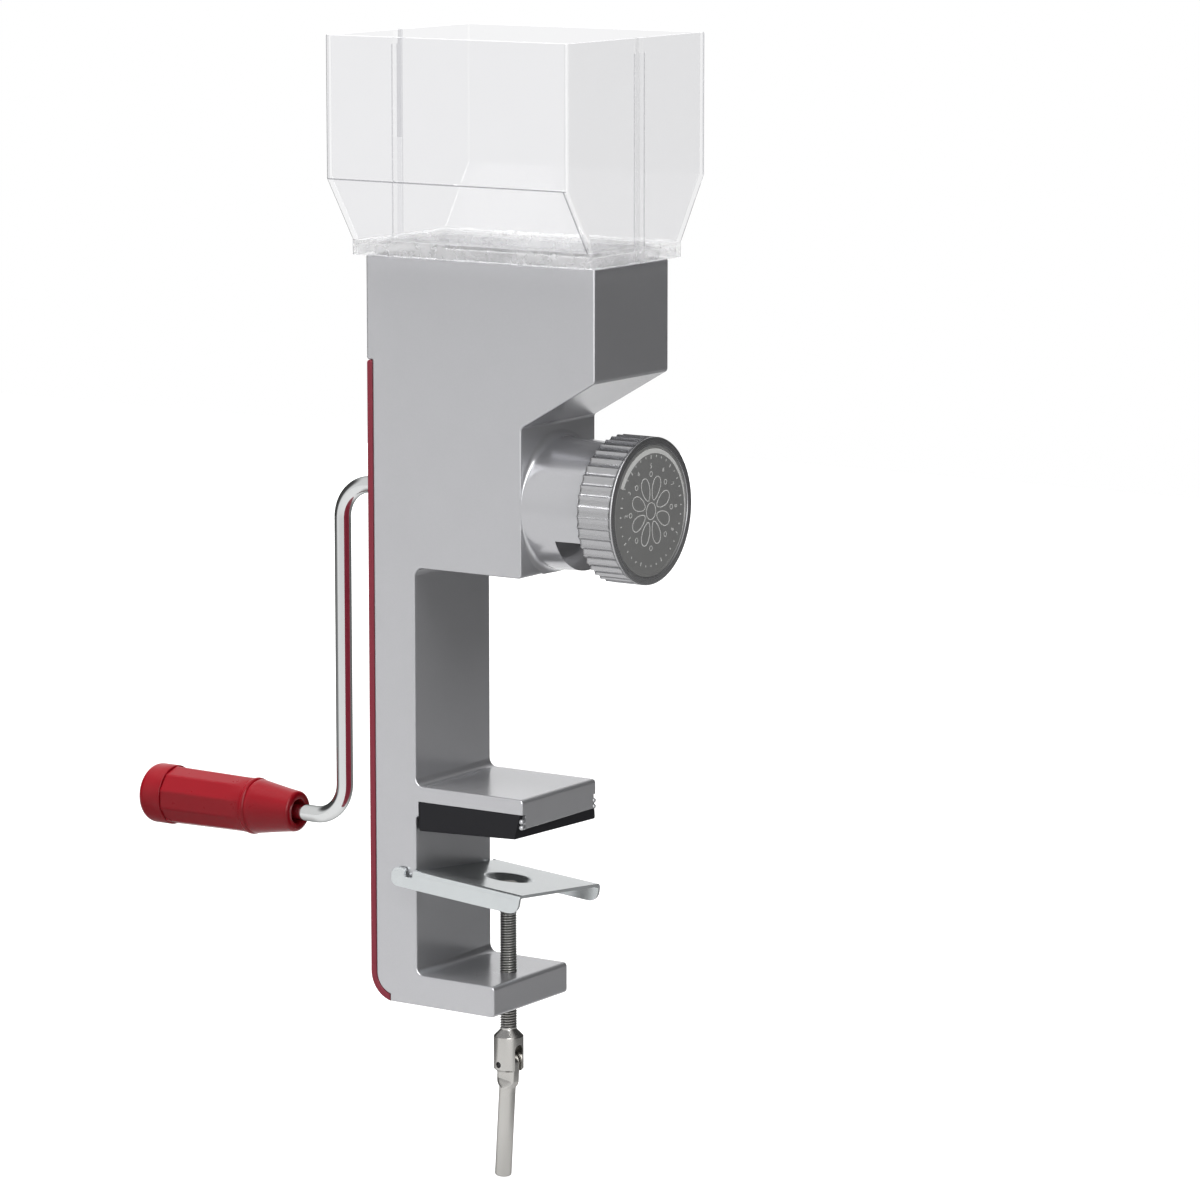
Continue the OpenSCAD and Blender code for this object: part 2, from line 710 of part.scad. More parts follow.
// One flight wound round a core. Its outline is a sector, turned as it is extruded.
module feed_screw() color("#9fa3a7") in_frame() on_axis(feed_x) difference() {
    union() {
        cylinder(h = burr_x - end_play - feed_x, r = core_r);
        linear_extrude(flight_l, twist = -360 * flight_l / feed_pitch, slices = 40, $fn = 8)
            polygon([[0, 0], for (i = [0 : flight_steps])
                let (a = (i / flight_steps - 0.5) * flight_angle) flight_r * [cos(a), sin(a)]]);
    }
    translate([0, 0, -eps]) cylinder(h = far, r = shaft_r + snug);
}

// Burrs, ground with straight grooves along their cones
module key_space(grow)
    translate([burr_x + key_set - grow, -key_w / 2 - grow, axis_z + seat_r - key_w / 2 - grow])
        cube([burr_l - 2 * key_set + 2 * grow, key_w + 2 * grow, key_w + 2 * grow]);

module burr_key() color("#8b8f93") in_frame() key_space(0);

module cone_grooves(a, b)
    for (i = [0 : burr_grooves - 1]) rotate([0, 0, (i + 0.5) * 360 / burr_grooves])
        translate([a, 0, 0]) rotate([0, atan((b - a) / burr_l), 0]) rotate([0, 0, 45])
            translate([-burr_cut / sqrt(2), -burr_cut / sqrt(2), -burr_l])
                cube([burr_cut * sqrt(2), burr_cut * sqrt(2), 3 * burr_l]);

module rotor_burr() color("#77797c") in_frame() on_axis(burr_x) difference() {
    cylinder(h = burr_l, r1 = mouth_r - burr_play, r2 = burr_front_r - burr_play);
    translate([0, 0, -eps]) cylinder(h = burr_l + 2 * eps, r = seat_r + snug);
    cone_grooves(mouth_r - burr_play, burr_front_r - burr_play);
    translate([0, 0, key_set - snug]) rotate([0, -90, 0]) translate([0, -key_w / 2 - snug, 0])
        cube([burr_l, key_w + 2 * snug, seat_r + key_w / 2 + snug]);
}

module rotor_circlip() color("#6d7175") in_frame()
    on_axis(rotor_clip_x) circlip(seat_r + flange_rim, seat_r - groove + snug);

module stator_burr() color("#808285") in_frame() on_axis(burr_x) difference() {
    cylinder(h = burr_l, r = stator_r);
    translate([0, 0, -skim]) cylinder(h = burr_l + 2 * skim, r1 = mouth_r, r2 = burr_front_r);
    intersection() {
        cone_grooves(mouth_r, burr_front_r);
        translate([0, 0, -eps]) cylinder(h = burr_l + 2 * eps, r = stator_r - groove_rim);
    }
}

// Sleeve that holds the stator burr and slides in the boss without turning
module burr_carrier() color("#b4b7ba") in_frame() difference() {
    union() {
        tube(carrier_rear, carrier_front - carrier_rear, carrier_r, carrier_in);
        tube(burr_end, hub_wall, carrier_in + snug, burr_front_r);
        disc(carrier_front - 2 * hub_wall, 2 * hub_wall, carrier_in + snug);
        disc(carrier_front - front_bush_l, front_bush_l, front_bush_r + hub_wall);
        tube(carrier_front - eps, nose_end - carrier_front + eps, nose_r, nose_r - nose_wall);
    }
    disc(carrier_front - front_bush_l - eps, front_bush_l + 2 * eps, front_bush_r + snug);
    translate([burr_end + hub_wall, -body_w, window_z - body_w])
        cube([carrier_front - burr_end - 3 * hub_wall, 2 * body_w, body_w]);
    // Slot for the guide screw
    for (side = [-1, 1])
        translate([guide_x + side * (carrier_travel + pass), 0, axis_z - far])
            cylinder(h = far - stator_r / 2, r = guide_d / 2 + pass);
    translate([guide_x - carrier_travel - pass, -guide_d / 2 - pass, axis_z - far])
        cube([2 * carrier_travel + 2 * pass, guide_d + 2 * pass, far - stator_r / 2]);
}

module front_bush() color("#b08d57") in_frame()
    tube(carrier_front - front_bush_l, front_bush_l, front_bush_r, journal_d / 2 + run);

module guide_screw() color("#85898d") in_frame() translate([guide_x, 0, guide_low]) difference() {
    cylinder(h = axis_z - stator_r - guide_gap - guide_low, r = guide_d / 2);
    cylinder(h = 2 * hex_l, r = guide_d / 4, $fn = 6, center = true);
}

// Knob
module knob_snap_ring() color("#8f9397") in_frame() on_axis(snap_x + end_play)
    circlip(skirt_in + snap_cut - snug, register_r - snap_cut + pass);

module adjusting_knob() color("#b9bcc0") in_frame() difference() {
    union() {
        disc(knob_x, knob_l - knob_chamfer, knob_r);
        on_axis(knob_end - knob_chamfer)
            cylinder(h = knob_chamfer, r1 = knob_r, r2 = knob_r - knob_chamfer);
    }
    difference() {
        disc(knob_x - eps, web_x - knob_x + eps, skirt_in);
        tube(nut_x, far, nose_r + nut_wall, nose_r + run);
    }
    tube(snap_x, ring_t + 2 * end_play, skirt_in + snap_cut, skirt_in - eps);
    disc(dial_x, far, dial_r + snug);
    for (i = [0 : knob_flutes - 1])
        translate([knob_x - eps, 0, axis_z]) rotate([i * 360 / knob_flutes, 0, 0])
            translate([0, 0, knob_r + flute_d / 2 - flute_cut]) rotate([0, 90, 0])
                cylinder(h = knob_l + eps - flute_stop, r = flute_d / 2, $fn = 16);
}

module knob_dial() color("#5d5e60") in_frame() disc(dial_x, dial_t, dial_r);

// Crank and grip
module bend(x, z, from) translate([x, 0, z]) rotate([90, 0, 0]) rotate([0, 0, from])
    rotate_extrude(angle = 90) translate([bend_r, 0]) circle(r = rod_d / 2);
// Puts what is drawn along +Z on the grip's axis, from its near end outwards
module at_grip(l = 0) translate([grip_x - l, 0, grip_z]) rotate([0, -90, 0]) children();

module crank_rod() color("#d5d8db") in_frame() difference() {
    union() {
        disc(bend_r - crank_out, crank_out - bend_r + socket_x - snug, rod_d / 2);
        bend(bend_r - crank_out, axis_z - bend_r, 90);
        translate([-crank_out, 0, grip_z + bend_r]) cylinder(h = crank_r - 2 * bend_r, r = rod_d / 2);
        bend(-crank_out - bend_r, grip_z + bend_r, -90);
        at_grip(bend_r - grip_gap) cylinder(h = grip_gap - bend_r + rod_end, r = rod_d / 2);
    }
    at_grip(clip_at) ring(ring_t, rod_d, rod_d / 2 - groove);
}

module crank_grub_screw() color("#55585b") in_frame()
    translate([-shaft_out / 2, 0, axis_z + rod_d / 2 + snug]) difference() {
        cylinder(h = (shaft_d - rod_d) / 2, r = grub_d / 2);
        translate([0, 0, (shaft_d - rod_d) / 2 - hex_l]) cylinder(h = 2 * hex_l, r = grub_d / 4, $fn = 6);
    }

module crank_grip() color("#b01423") in_frame() at_grip() difference() {
    union() {
        cylinder(h = near_chamfer.x, r1 = grip_near_d / 2 - near_chamfer.y, r2 = grip_near_d / 2);
        translate([0, 0, near_chamfer.x])
            cylinder(h = taper_l - near_chamfer.x, r1 = grip_near_d / 2, r2 = collar_r - taper_step);
        translate([0, 0, taper_l]) cylinder(h = collar_l, r = collar_r);
        translate([0, 0, taper_l])
            cylinder(h = grip_l - taper_l, r1 = grip_d / 2, r2 = grip_d / 2 + grip_flare, $fn = grip_flats);
    }
    translate([0, 0, -eps]) cylinder(h = grip_l + 2 * eps, r = grip_bore);
    translate([0, 0, -eps]) cylinder(h = recess_l + eps, r = rod_d / 2 + recess_w);
    translate([0, 0, grip_l - well_l]) cylinder(h = far, r = rod_d);
}

// Domed cap with a plug that closes the grip's well
module grip_cap() color("#b01423") in_frame() at_grip(grip_l) union() {
    translate([0, 0, -cap_plug]) cylinder(h = cap_plug + eps, r = rod_d - snug);
    rotate_extrude() intersection() {
        translate([0, cap_l - 2 * cap_r]) circle(r = 2 * cap_r);
        union() {
            square([cap_r, cap_l - cap_edge]);
            square([cap_r - cap_edge, cap_l]);
            intersection() {
                translate([cap_r - cap_edge, cap_l - cap_edge]) circle(r = cap_edge);
                square([cap_r, cap_l]);
            }
        }
    }
}

module grip_circlip() color("#8f9397") in_frame()
    at_grip(clip_at) circlip(rod_d - clip_rim, rod_d / 2 - groove + snug);

// Clamp
module at_clamp(z) translate([clamp_x, 0, z]) children();
module at_pin() at_clamp(pin_z) rotate([0, 0, -fork_turn]) children();
// Puts what is drawn along +Z across the fork, through both of its ears
module through_fork() rotate([90, 0, 0]) children();

module clamp_spindle() color("#a9adb0") in_frame() difference() {
    union() {
        at_clamp(-thread_low) cylinder(h = shoulder_z + thread_low, r = spindle_d / 2);
        at_clamp(shoulder_z - eps) cylinder(h = rivet_z - shoulder_z + 2 * eps, r = neck_r);
        at_clamp(rivet_z) cylinder(h = rivet_h, r1 = rivet_r, r2 = rivet_r - rivet_chamfer);
        at_clamp(fork_top) cylinder(h = cone_l, r1 = fork_d / 2, r2 = spindle_d / 2);
        at_clamp(fork_end + end_chamfer) cylinder(h = fork_l - end_chamfer, r = fork_d / 2);
        at_clamp(fork_end) cylinder(h = end_chamfer, r1 = fork_d / 2 - end_chamfer, r2 = fork_d / 2);
    }
    at_pin() {
        translate([-fork_d, -slot_w / 2, -pin_up - eps])
            cube([2 * fork_d, slot_w, slot_l - slot_w / 2 + eps]);
        translate([-fork_d, 0, slot_l - slot_w / 2 - pin_up]) rotate([0, 90, 0])
            cylinder(h = 2 * fork_d, r = slot_w / 2);
        through_fork() cylinder(h = 2 * fork_d, r = pin_d / 2 + snug, center = true);
    }
}

module lever_pin() color("#6d7175") in_frame() at_pin() through_fork()
    cylinder(h = fork_d - 2 * pin_short, r = pin_d / 2, center = true);

// Outline of the lever's flattened end, seen along x
module tongue_side() {
    half = tongue_t / 2;
    r = lever_d / 2;
    flare = [0.5, 1]; // distances of the slant's ends from the tongue's and the bar's ends
    polygon([[-half, 0], [-half, -tongue_end - flare.x], [-r, -lever_top + flare.y], [-r, -lever_top],
             [r, -lever_top], [r, -lever_top + flare.y], [half, -tongue_end - flare.x], [half, 0]]);
}
// Round bar whose end is flattened to a tongue with an eye
module clamp_lever() color("#a9adb0") in_frame() at_pin() rotate([0, lever_lean, 0]) difference() {
    shoulder = 1; // how far the tongue's parts run into each other
    union() {
        through_fork() cylinder(h = tongue_t, r = tongue_w / 2, center = true);
        translate([-tongue_w / 2, -tongue_t / 2, -tongue_end - shoulder])
            cube([tongue_w, tongue_t, tongue_end + shoulder]);
        intersection() {
            translate([0, 0, -lever_top])
                cylinder(h = tongue_blend, r1 = lever_d / 2, r2 = tongue_w / 2 + shoulder);
            along(-tongue_w, 2 * tongue_w) tongue_side();
        }
        translate([0, 0, end_chamfer - lever_l])
            cylinder(h = lever_l - end_chamfer - lever_top + shoulder / 10, r = lever_d / 2);
        translate([0, 0, -lever_l])
            cylinder(h = end_chamfer, r1 = lever_d / 2 - end_chamfer, r2 = lever_d / 2);
    }
    through_fork() cylinder(h = 2 * tongue_t, r = pin_d / 2 + run, center = true);
}

module plate_washer() color("#c9ccd0") in_frame() at_clamp(shoulder_z) ring(ring_t, washer_r, neck_r + run);

// Plate pressed from sheet, drawn level round its pivot and then tilted
module flange_outline() {
    notch = plate_rear - notch_set;
    polygon(rounded([
        [ear_rear, flange_low, ear_r], [plate_front, flange_low, flange_r],
        [plate_front, plate_top, 0], [notch, plate_top, 0], [notch, plate_top - notch_h, notch_r.x],
        [notch - notch_w, plate_top - notch_h, notch_r.x], [notch - notch_w, plate_top, notch_r.y],
        [ear_rear, plate_top, ear_r]]));
}
module pressure_plate() color("#d3d8da") in_frame() at_clamp(pivot_z)
    rotate(a = plate_tilt, v = [cos(tilt_dir), sin(tilt_dir), 0]) difference() {
        union() {
            translate([plate_rear, -plate_w / 2, plate_top - sheet_t])
                cube([plate_front - plate_rear, plate_w, sheet_t]);
            for (side = [-1, 1])
                translate([0, side * (plate_w - sheet_t) / 2, 0]) across(sheet_t) flange_outline();
            translate([0, 0, -sheet_t / 2])
                cylinder(h = plate_top, r1 = dish_floor_d / 2 + sheet_t, r2 = dish_r + sheet_t);
        }
        translate([0, 0, sheet_t / 2]) cylinder(h = dish_h, r1 = dish_floor_d / 2, r2 = dish_r);
        translate([0, 0, dish_h]) cylinder(h = far, r = dish_r);
        translate([0, 0, -sheet_t]) cylinder(h = 3 * sheet_t, r = neck_r + neck_play);
    }

body_casting();
rear_cover();
cover_screws();
hopper_near_half();
hopper_far_half();
rear_bush();
drive_shaft();
shaft_circlip();
thrust_washer();
feed_screw();
burr_key();
rotor_burr();
rotor_circlip();
stator_burr();
burr_carrier();
front_bush();
guide_screw();
knob_snap_ring();
adjusting_knob();
knob_dial();
crank_rod();
crank_grub_screw();
crank_grip();
grip_cap();
grip_circlip();
rubber_pad();
pressure_plate();
plate_washer();
clamp_spindle();
lever_pin();
clamp_lever();
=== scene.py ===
# Hand grain mill: the looks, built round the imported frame.
# Shapes are worked out in casting millimetres: x from the casting's rear face, y from its
# mid plane, z from the underside of its lower arm. toRow() moves them into the frame.
import math

import bmesh
import bpy
import numpy as np
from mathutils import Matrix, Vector


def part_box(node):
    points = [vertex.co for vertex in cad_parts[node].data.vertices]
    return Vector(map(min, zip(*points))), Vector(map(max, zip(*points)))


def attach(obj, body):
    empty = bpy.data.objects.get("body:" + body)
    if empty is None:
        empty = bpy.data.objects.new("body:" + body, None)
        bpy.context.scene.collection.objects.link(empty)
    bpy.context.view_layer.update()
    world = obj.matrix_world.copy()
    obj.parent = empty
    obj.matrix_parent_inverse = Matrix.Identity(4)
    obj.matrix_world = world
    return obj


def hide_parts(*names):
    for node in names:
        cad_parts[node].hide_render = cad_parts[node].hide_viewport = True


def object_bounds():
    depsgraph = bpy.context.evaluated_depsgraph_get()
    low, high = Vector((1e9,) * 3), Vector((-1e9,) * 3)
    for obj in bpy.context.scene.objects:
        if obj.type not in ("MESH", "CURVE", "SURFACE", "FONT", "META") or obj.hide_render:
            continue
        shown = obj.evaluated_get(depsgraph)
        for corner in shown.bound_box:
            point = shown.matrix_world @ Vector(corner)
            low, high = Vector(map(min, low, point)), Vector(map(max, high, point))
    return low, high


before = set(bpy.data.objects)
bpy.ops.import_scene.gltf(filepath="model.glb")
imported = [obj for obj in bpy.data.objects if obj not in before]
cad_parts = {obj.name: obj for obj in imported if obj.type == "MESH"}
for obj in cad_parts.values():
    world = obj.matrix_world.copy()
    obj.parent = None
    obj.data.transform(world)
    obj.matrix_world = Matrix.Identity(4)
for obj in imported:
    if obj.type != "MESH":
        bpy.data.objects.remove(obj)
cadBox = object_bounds()
print("stage: frame loaded,", len(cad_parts), "nodes")

mm = 0.001
fullTurn = 2 * math.pi
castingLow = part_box("body_casting")[0]
castingOrigin = np.array([castingLow[0], 0.0, castingLow[2]])
driveZ = 241.5  # the drive axis runs along x at this height
clampX = 58.0  # the clamp screw's axis


def toRow(points):
    # casting millimetres to the frame's metres
    return castingOrigin + np.asarray(points, dtype=float) * mm


def gridFaces(rows, columns, closeRows=False, closeColumns=False):
    # quads between neighbouring rows and columns, wrapped round where closed
    i = np.arange(rows if closeRows else rows - 1)[:, None]
    j = np.arange(columns if closeColumns else columns - 1)[None, :]
    here, there = i * columns, (i + 1) % rows * columns
    right = (j + 1) % columns
    quads = np.stack([here + j, here + right, there + right, there + j], -1)
    return [tuple(q) for q in quads.reshape(-1, 4).tolist()]


def rowCaps(rows, columns):
    # closes the first and the last row of a grid
    return [tuple(range(columns)), tuple(range((rows - 1) * columns, rows * columns))[::-1]]


def columnCaps(rows, columns):
    # closes the first and the last column of a grid
    total = rows * columns
    return [tuple(range(0, total, columns)), tuple(range(columns - 1, total, columns))[::-1]]


def newPiece(name, *parts):
    # each part is (points, faces); doubles are merged and the faces turned outwards
    points = np.concatenate([np.asarray(p, dtype=float).reshape(-1, 3) for p, _ in parts])
    faces, start = [], 0
    for p, partFaces in parts:
        faces += [tuple(start + k for k in face) for face in partFaces]
        start += len(np.asarray(p).reshape(-1, 3))
    mesh = bpy.data.meshes.new(name)
    mesh.from_pydata(toRow(points).tolist(), [], faces)
    work = bmesh.new()
    work.from_mesh(mesh)
    bmesh.ops.remove_doubles(work, verts=work.verts, dist=1e-6)
    bmesh.ops.recalc_face_normals(work, faces=work.faces)
    work.to_mesh(mesh)
    work.free()
    piece = bpy.data.objects.new(name, mesh)
    bpy.context.scene.collection.objects.link(piece)
    return piece


def combine(piece, tools, operation="DIFFERENCE"):
    # adds the tools to the piece, cuts them from it, or keeps what they share
    for tool in tools:
        step = piece.modifiers.new(tool.name, "BOOLEAN")
        step.operation = operation
        step.solver = "EXACT"
        step.object = tool
    graph = bpy.context.evaluated_depsgraph_get()
    mesh = bpy.data.meshes.new_from_object(piece.evaluated_get(graph))
    piece.modifiers.clear()
    piece.data = mesh
    for tool in tools:
        bpy.data.objects.remove(tool, do_unlink=True)
    return piece


def dress(piece, body, finish, *nodes, angle=35, weighted=True):
    # smooth shading up to the given angle, one material, and the CAD body and nodes
    piece.data.materials.clear()
    piece.data.materials.append(materials[finish])
    piece.data.shade_smooth()
    piece.data.set_sharp_from_angle(angle=math.radians(angle))
    if weighted:
        flat = piece.modifiers.new("flatFaces", "WEIGHTED_NORMAL")
        flat.keep_sharp = True
    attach(piece, body)
    if nodes:
        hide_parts(*nodes)
    return piece


def rounded(points, steps=6):
    # each corner [x, z, r] of an outline becomes an arc of radius r that touches both sides
    points = np.array(points, dtype=float)
    corner, radius = points[:, :2], points[:, 2]
    back = np.roll(corner, 1, 0) - corner
    ahead = np.roll(corner, -1, 0) - corner
    back /= np.linalg.norm(back, axis=1)[:, None]
    ahead /= np.linalg.norm(ahead, axis=1)[:, None]
    half = np.arccos((back * ahead).sum(1).clip(-1, 1)) / 2
    middle = back + ahead
    middle /= np.linalg.norm(middle, axis=1)[:, None]
    centre = corner + middle * (radius / np.sin(half))[:, None]
    start = corner + back * (radius / np.tan(half))[:, None] - centre
    end = corner + ahead * (radius / np.tan(half))[:, None] - centre
    first = np.arctan2(start[:, 1], start[:, 0])
    sweep = np.arctan2(start[:, 0] * end[:, 1] - start[:, 1] * end[:, 0], (start * end).sum(1))
    angle = first[:, None] + sweep[:, None] * np.linspace(0, 1, steps + 1)
    arcs = centre[:, None] + radius[:, None, None] * np.stack([np.cos(angle), np.sin(angle)], -1)
    arcs = arcs.reshape(-1, 2)
    return arcs[np.linalg.norm(arcs - np.roll(arcs, 1, 0), axis=1) > 1e-6]


def pillow(outline, low, high, edge=0.0, steps=4):
    # an outline in x and z carried from y = low to high; towards both ends it shrinks along
    # its own normals by edge * (1 - cos a) while y moves by edge * (1 - sin a)
    side = np.roll(outline, -1, 0) - outline
    side /= np.linalg.norm(side, axis=1)[:, None]
    normal = np.stack([side[:, 1], -side[:, 0]], 1)
    before = np.roll(normal, 1, 0)
    push = (normal + before) / (1 + (normal * before).sum(1))[:, None]
    a = np.linspace(math.pi / 2, 0, steps + 1) if edge else np.zeros(1)
    inset, depth = edge * (1 - np.cos(a)), edge * (1 - np.sin(a))
    inset = np.concatenate([inset, inset[::-1]])
    y = np.concatenate([low + depth, (high - depth)[::-1]])
    xz = outline[None] - inset[:, None, None] * push[None]
    points = np.stack([xz[..., 0], np.broadcast_to(y[:, None], xz.shape[:2]), xz[..., 1]], -1)
    size = len(y), len(outline)
    return points, gridFaces(*size, closeColumns=True) + rowCaps(*size)


def block(x0, x1, y0, y1, z0, z1):
    corners = np.array([[x0, z0], [x1, z0], [x1, z1], [x0, z1]], dtype=float)
    return pillow(corners, y0, y1)


def turned(length, radius, origin, along, steps=96, closed=False):
    # a profile carried round a line: point = origin + length * along + radius * (u cos b + v sin b);
    # the radius may change round the circle, and rows of radius 0 become poles
    length = np.asarray(length, dtype=float)
    radius = np.asarray(radius, dtype=float)
    if radius.ndim == 1:
        radius = np.repeat(radius[:, None], steps, 1)
    if length.ndim == 1:
        length = np.repeat(length[:, None], steps, 1)
    axis = Vector(along).normalized()
    u = axis.orthogonal().normalized()
    if abs(axis.x) > 0.5:
        u = Vector((0, 0, 1))
    v = axis.cross(u)
    b = np.arange(steps) / steps * fullTurn
    round2 = np.cos(b)[:, None] * np.array(u) + np.sin(b)[:, None] * np.array(v)
    points = np.array(origin, dtype=float) + length[..., None] * np.array(axis)
    points = points + radius[..., None] * round2[None]
    return points, gridFaces(len(length), steps, closed, True)


def arcProfile(centre, radius, start, end, steps=6):
    # points of an arc in a profile's plane, as (length, radius) columns
    a = np.radians(np.linspace(start, end, steps + 1))
    return np.stack([centre[0] + radius * np.cos(a), centre[1] + radius * np.sin(a)], 1)


def profile(*pieces):
    # joins points and arcs into one list of (length, radius)
    return np.concatenate([np.atleast_2d(np.asarray(p, dtype=float)) for p in pieces])


def swept(path, radius, steps=40):
    # a circle carried square to a path that lies in a plane of x and z
    path = np.asarray(path, dtype=float)
    ahead = np.gradient(path, axis=0)
    ahead /= np.linalg.norm(ahead, axis=1)[:, None]
    side = np.stack([ahead[:, 1], -ahead[:, 0]], 1)
    b = np.arange(steps) / steps * fullTurn
    r = np.broadcast_to(np.asarray(radius, dtype=float), len(path))[:, None]
    x = path[:, :1] + r * np.cos(b) * side[:, :1]
    z = path[:, 1:] + r * np.cos(b) * side[:, 1:]
    y = r * np.sin(b) * np.ones_like(x)
    size = len(path), steps
    return np.stack([x, y, z], -1), gridFaces(*size, closeColumns=True) + rowCaps(*size)


def bore(name, start, end, radius, steps, origin=(0, 0, driveZ), along=(1, 0, 0)):
    # a plain cylinder to cut with
    return newPiece(name, turned([start, start, end, end], [0, radius, radius, 0], origin, along, steps))


def latheWork(name, edge, steps, origin=(0, 0, driveZ), along=(1, 0, 0)):
    # a profile of (length, radius) turned about an axis
    return newPiece(name, turned(edge[:, 0], edge[:, 1], origin, along, steps))


def readRows(items, label):
    # a vector of each vertex or face, as rows
    rows = np.empty(len(items) * 3)
    items.foreach_get(label, rows)
    return rows.reshape(-1, 3)


def toCasting(rows):
    # the frame's metres to casting millimetres
    return (rows - castingOrigin) / mm


def newGroup(name, inputs, outputs):
    # inputs and outputs are (name, socket type, default)
    tree = bpy.data.node_groups.new(name, "ShaderNodeTree")
    for label, kind, value in inputs:
        socket = tree.interface.new_socket(name=label, in_out="INPUT", socket_type=kind)
        socket.default_value = value
    for label, kind in outputs:
        tree.interface.new_socket(name=label, in_out="OUTPUT", socket_type=kind)
    return tree, tree.nodes.new("NodeGroupInput"), tree.nodes.new("NodeGroupOutput")


def node(tree, kind, **settings):
    made = tree.nodes.new("ShaderNode" + kind)
    for label, value in settings.items():
        setattr(made, label, value)
    return made


def feed(tree, target, **values):
    # sets or links a node's inputs by name, with _ for a blank
    for label, value in values.items():
        link(tree, value, target.inputs[label.replace("_", " ")])
    return target


def link(tree, value, socket):
    if isinstance(value, bpy.types.NodeSocket):
        tree.links.new(value, socket)
    else:
        socket.default_value = value


def reckon(tree, operation, *values, kind="Math"):
    # a sum on numbers, or on vectors, and its result
    made = node(tree, kind, operation=operation)
    for k, value in enumerate(values):
        link(tree, value, made.inputs[k])
    return made.outputs["Value" if operation in ("LENGTH", "DOT_PRODUCT") else 0]


def blend(tree, share, first, second):
    # first where share is 0, second where it is 1
    made = node(tree, "Mix")
    for k, value in ((0, share), (2, first), (3, second)):
        link(tree, value, made.inputs[k])
    return made.outputs[0]


def newFinish(name, height, spots, values):
    # a group in which height gives the relief, and height and spots together the tone and roughness:
    # colour * (1 + Tone * s) and Roughness + Spread * s, with s = height + spots - 1
    kinds = {1: "NodeSocketFloat", 3: "NodeSocketVector", 4: "NodeSocketColor"}
    inputs = [(label, kinds[np.size(value)], value) for label, value in values.items()]
    tree, given, out = newGroup(name, inputs, [
        ("Color", "NodeSocketColor"), ("Roughness", "NodeSocketFloat"), ("Normal", "NodeSocketVector")])
    given = given.outputs
    place = node(tree, "TexCoord").outputs["Object"]
    high, spotted = height(tree, place, given), spots(tree, place)
    both = reckon(tree, "SUBTRACT", reckon(tree, "ADD", high, spotted), 1.0)
    gain = reckon(tree, "MULTIPLY_ADD", both, given["Tone"], 1.0)
    rough = reckon(tree, "MULTIPLY_ADD", both, given["Spread"], given["Roughness"])
    tint = feed(tree, node(tree, "VectorMath", operation="SCALE"), Vector=given["Color"], Scale=gain)
    bump = feed(tree, node(tree, "Bump"), Height=high, Distance=given["Relief"], Strength=1.0)
    feed(tree, out, Color=tint.outputs[0], Roughness=rough, Normal=bump.outputs[0])
    return tree


def noise(tree, **values):
    return feed(tree, node(tree, "TexNoise"), **values).outputs["Fac"]


def fineGrain(tree, place, given):
    return noise(tree, Vector=place, Scale=given["Scale"], Detail=3.0, Roughness=0.6)


def latheLines(tree, place, given):
    # fine lines by the distance from the axis, as a lathe leaves them
    away = reckon(tree, "SUBTRACT", place, given["Centre"], kind="VectorMath")
    across = reckon(tree, "MULTIPLY", away, given["Across"], kind="VectorMath")
    distance = reckon(tree, "LENGTH", across, kind="VectorMath")
    rings = reckon(tree, "DIVIDE", distance, given["Pitch"])
    lines = node(tree, "TexNoise", noise_dimensions="1D")
    return feed(tree, lines, W=rings, Scale=1.0, Detail=2.0).outputs["Fac"]


def broadSpots(tree, place):
    return noise(tree, Vector=place, Scale=34.0, Detail=4.0, Roughness=0.55)


def smallSpots(tree, place):
    return noise(tree, Vector=place, Scale=45.0, Detail=3.0)


grainGroup = newFinish("castGrain", fineGrain, broadSpots, {
    "Color": (0.5, 0.5, 0.5, 1), "Tone": 0.05, "Roughness": 0.5, "Spread": 0.1, "Scale": 900.0,
    "Relief": 0.00003})
brushGroup = newFinish("latheLines", latheLines, smallSpots, {
    "Color": (0.5, 0.5, 0.5, 1), "Tone": 0.06, "Roughness": 0.3, "Spread": 0.1, "Pitch": 0.0004,
    "Relief": 0.00001, "Centre": (0, 0, 0), "Across": (0, 1, 1)})


def finishMaterial(name, shared, values, **shader):
    # one Principled shader fed by a shared group; plain numbers go on its own sockets
    material = bpy.data.materials.new(name)
    material.use_nodes = True
    tree = material.node_tree
    bsdf = tree.nodes["Principled BSDF"]
    made = feed(tree, node(tree, "Group", node_tree=shared), **values).outputs
    feed(tree, bsdf, Base_Color=made["Color"], Roughness=made["Roughness"], Normal=made["Normal"])
    feed(tree, bsdf, **shader)
    return material


driveCentre = tuple(toRow([0, 0, driveZ]))
clampCentre = tuple(toRow([clampX, 0, 0]))
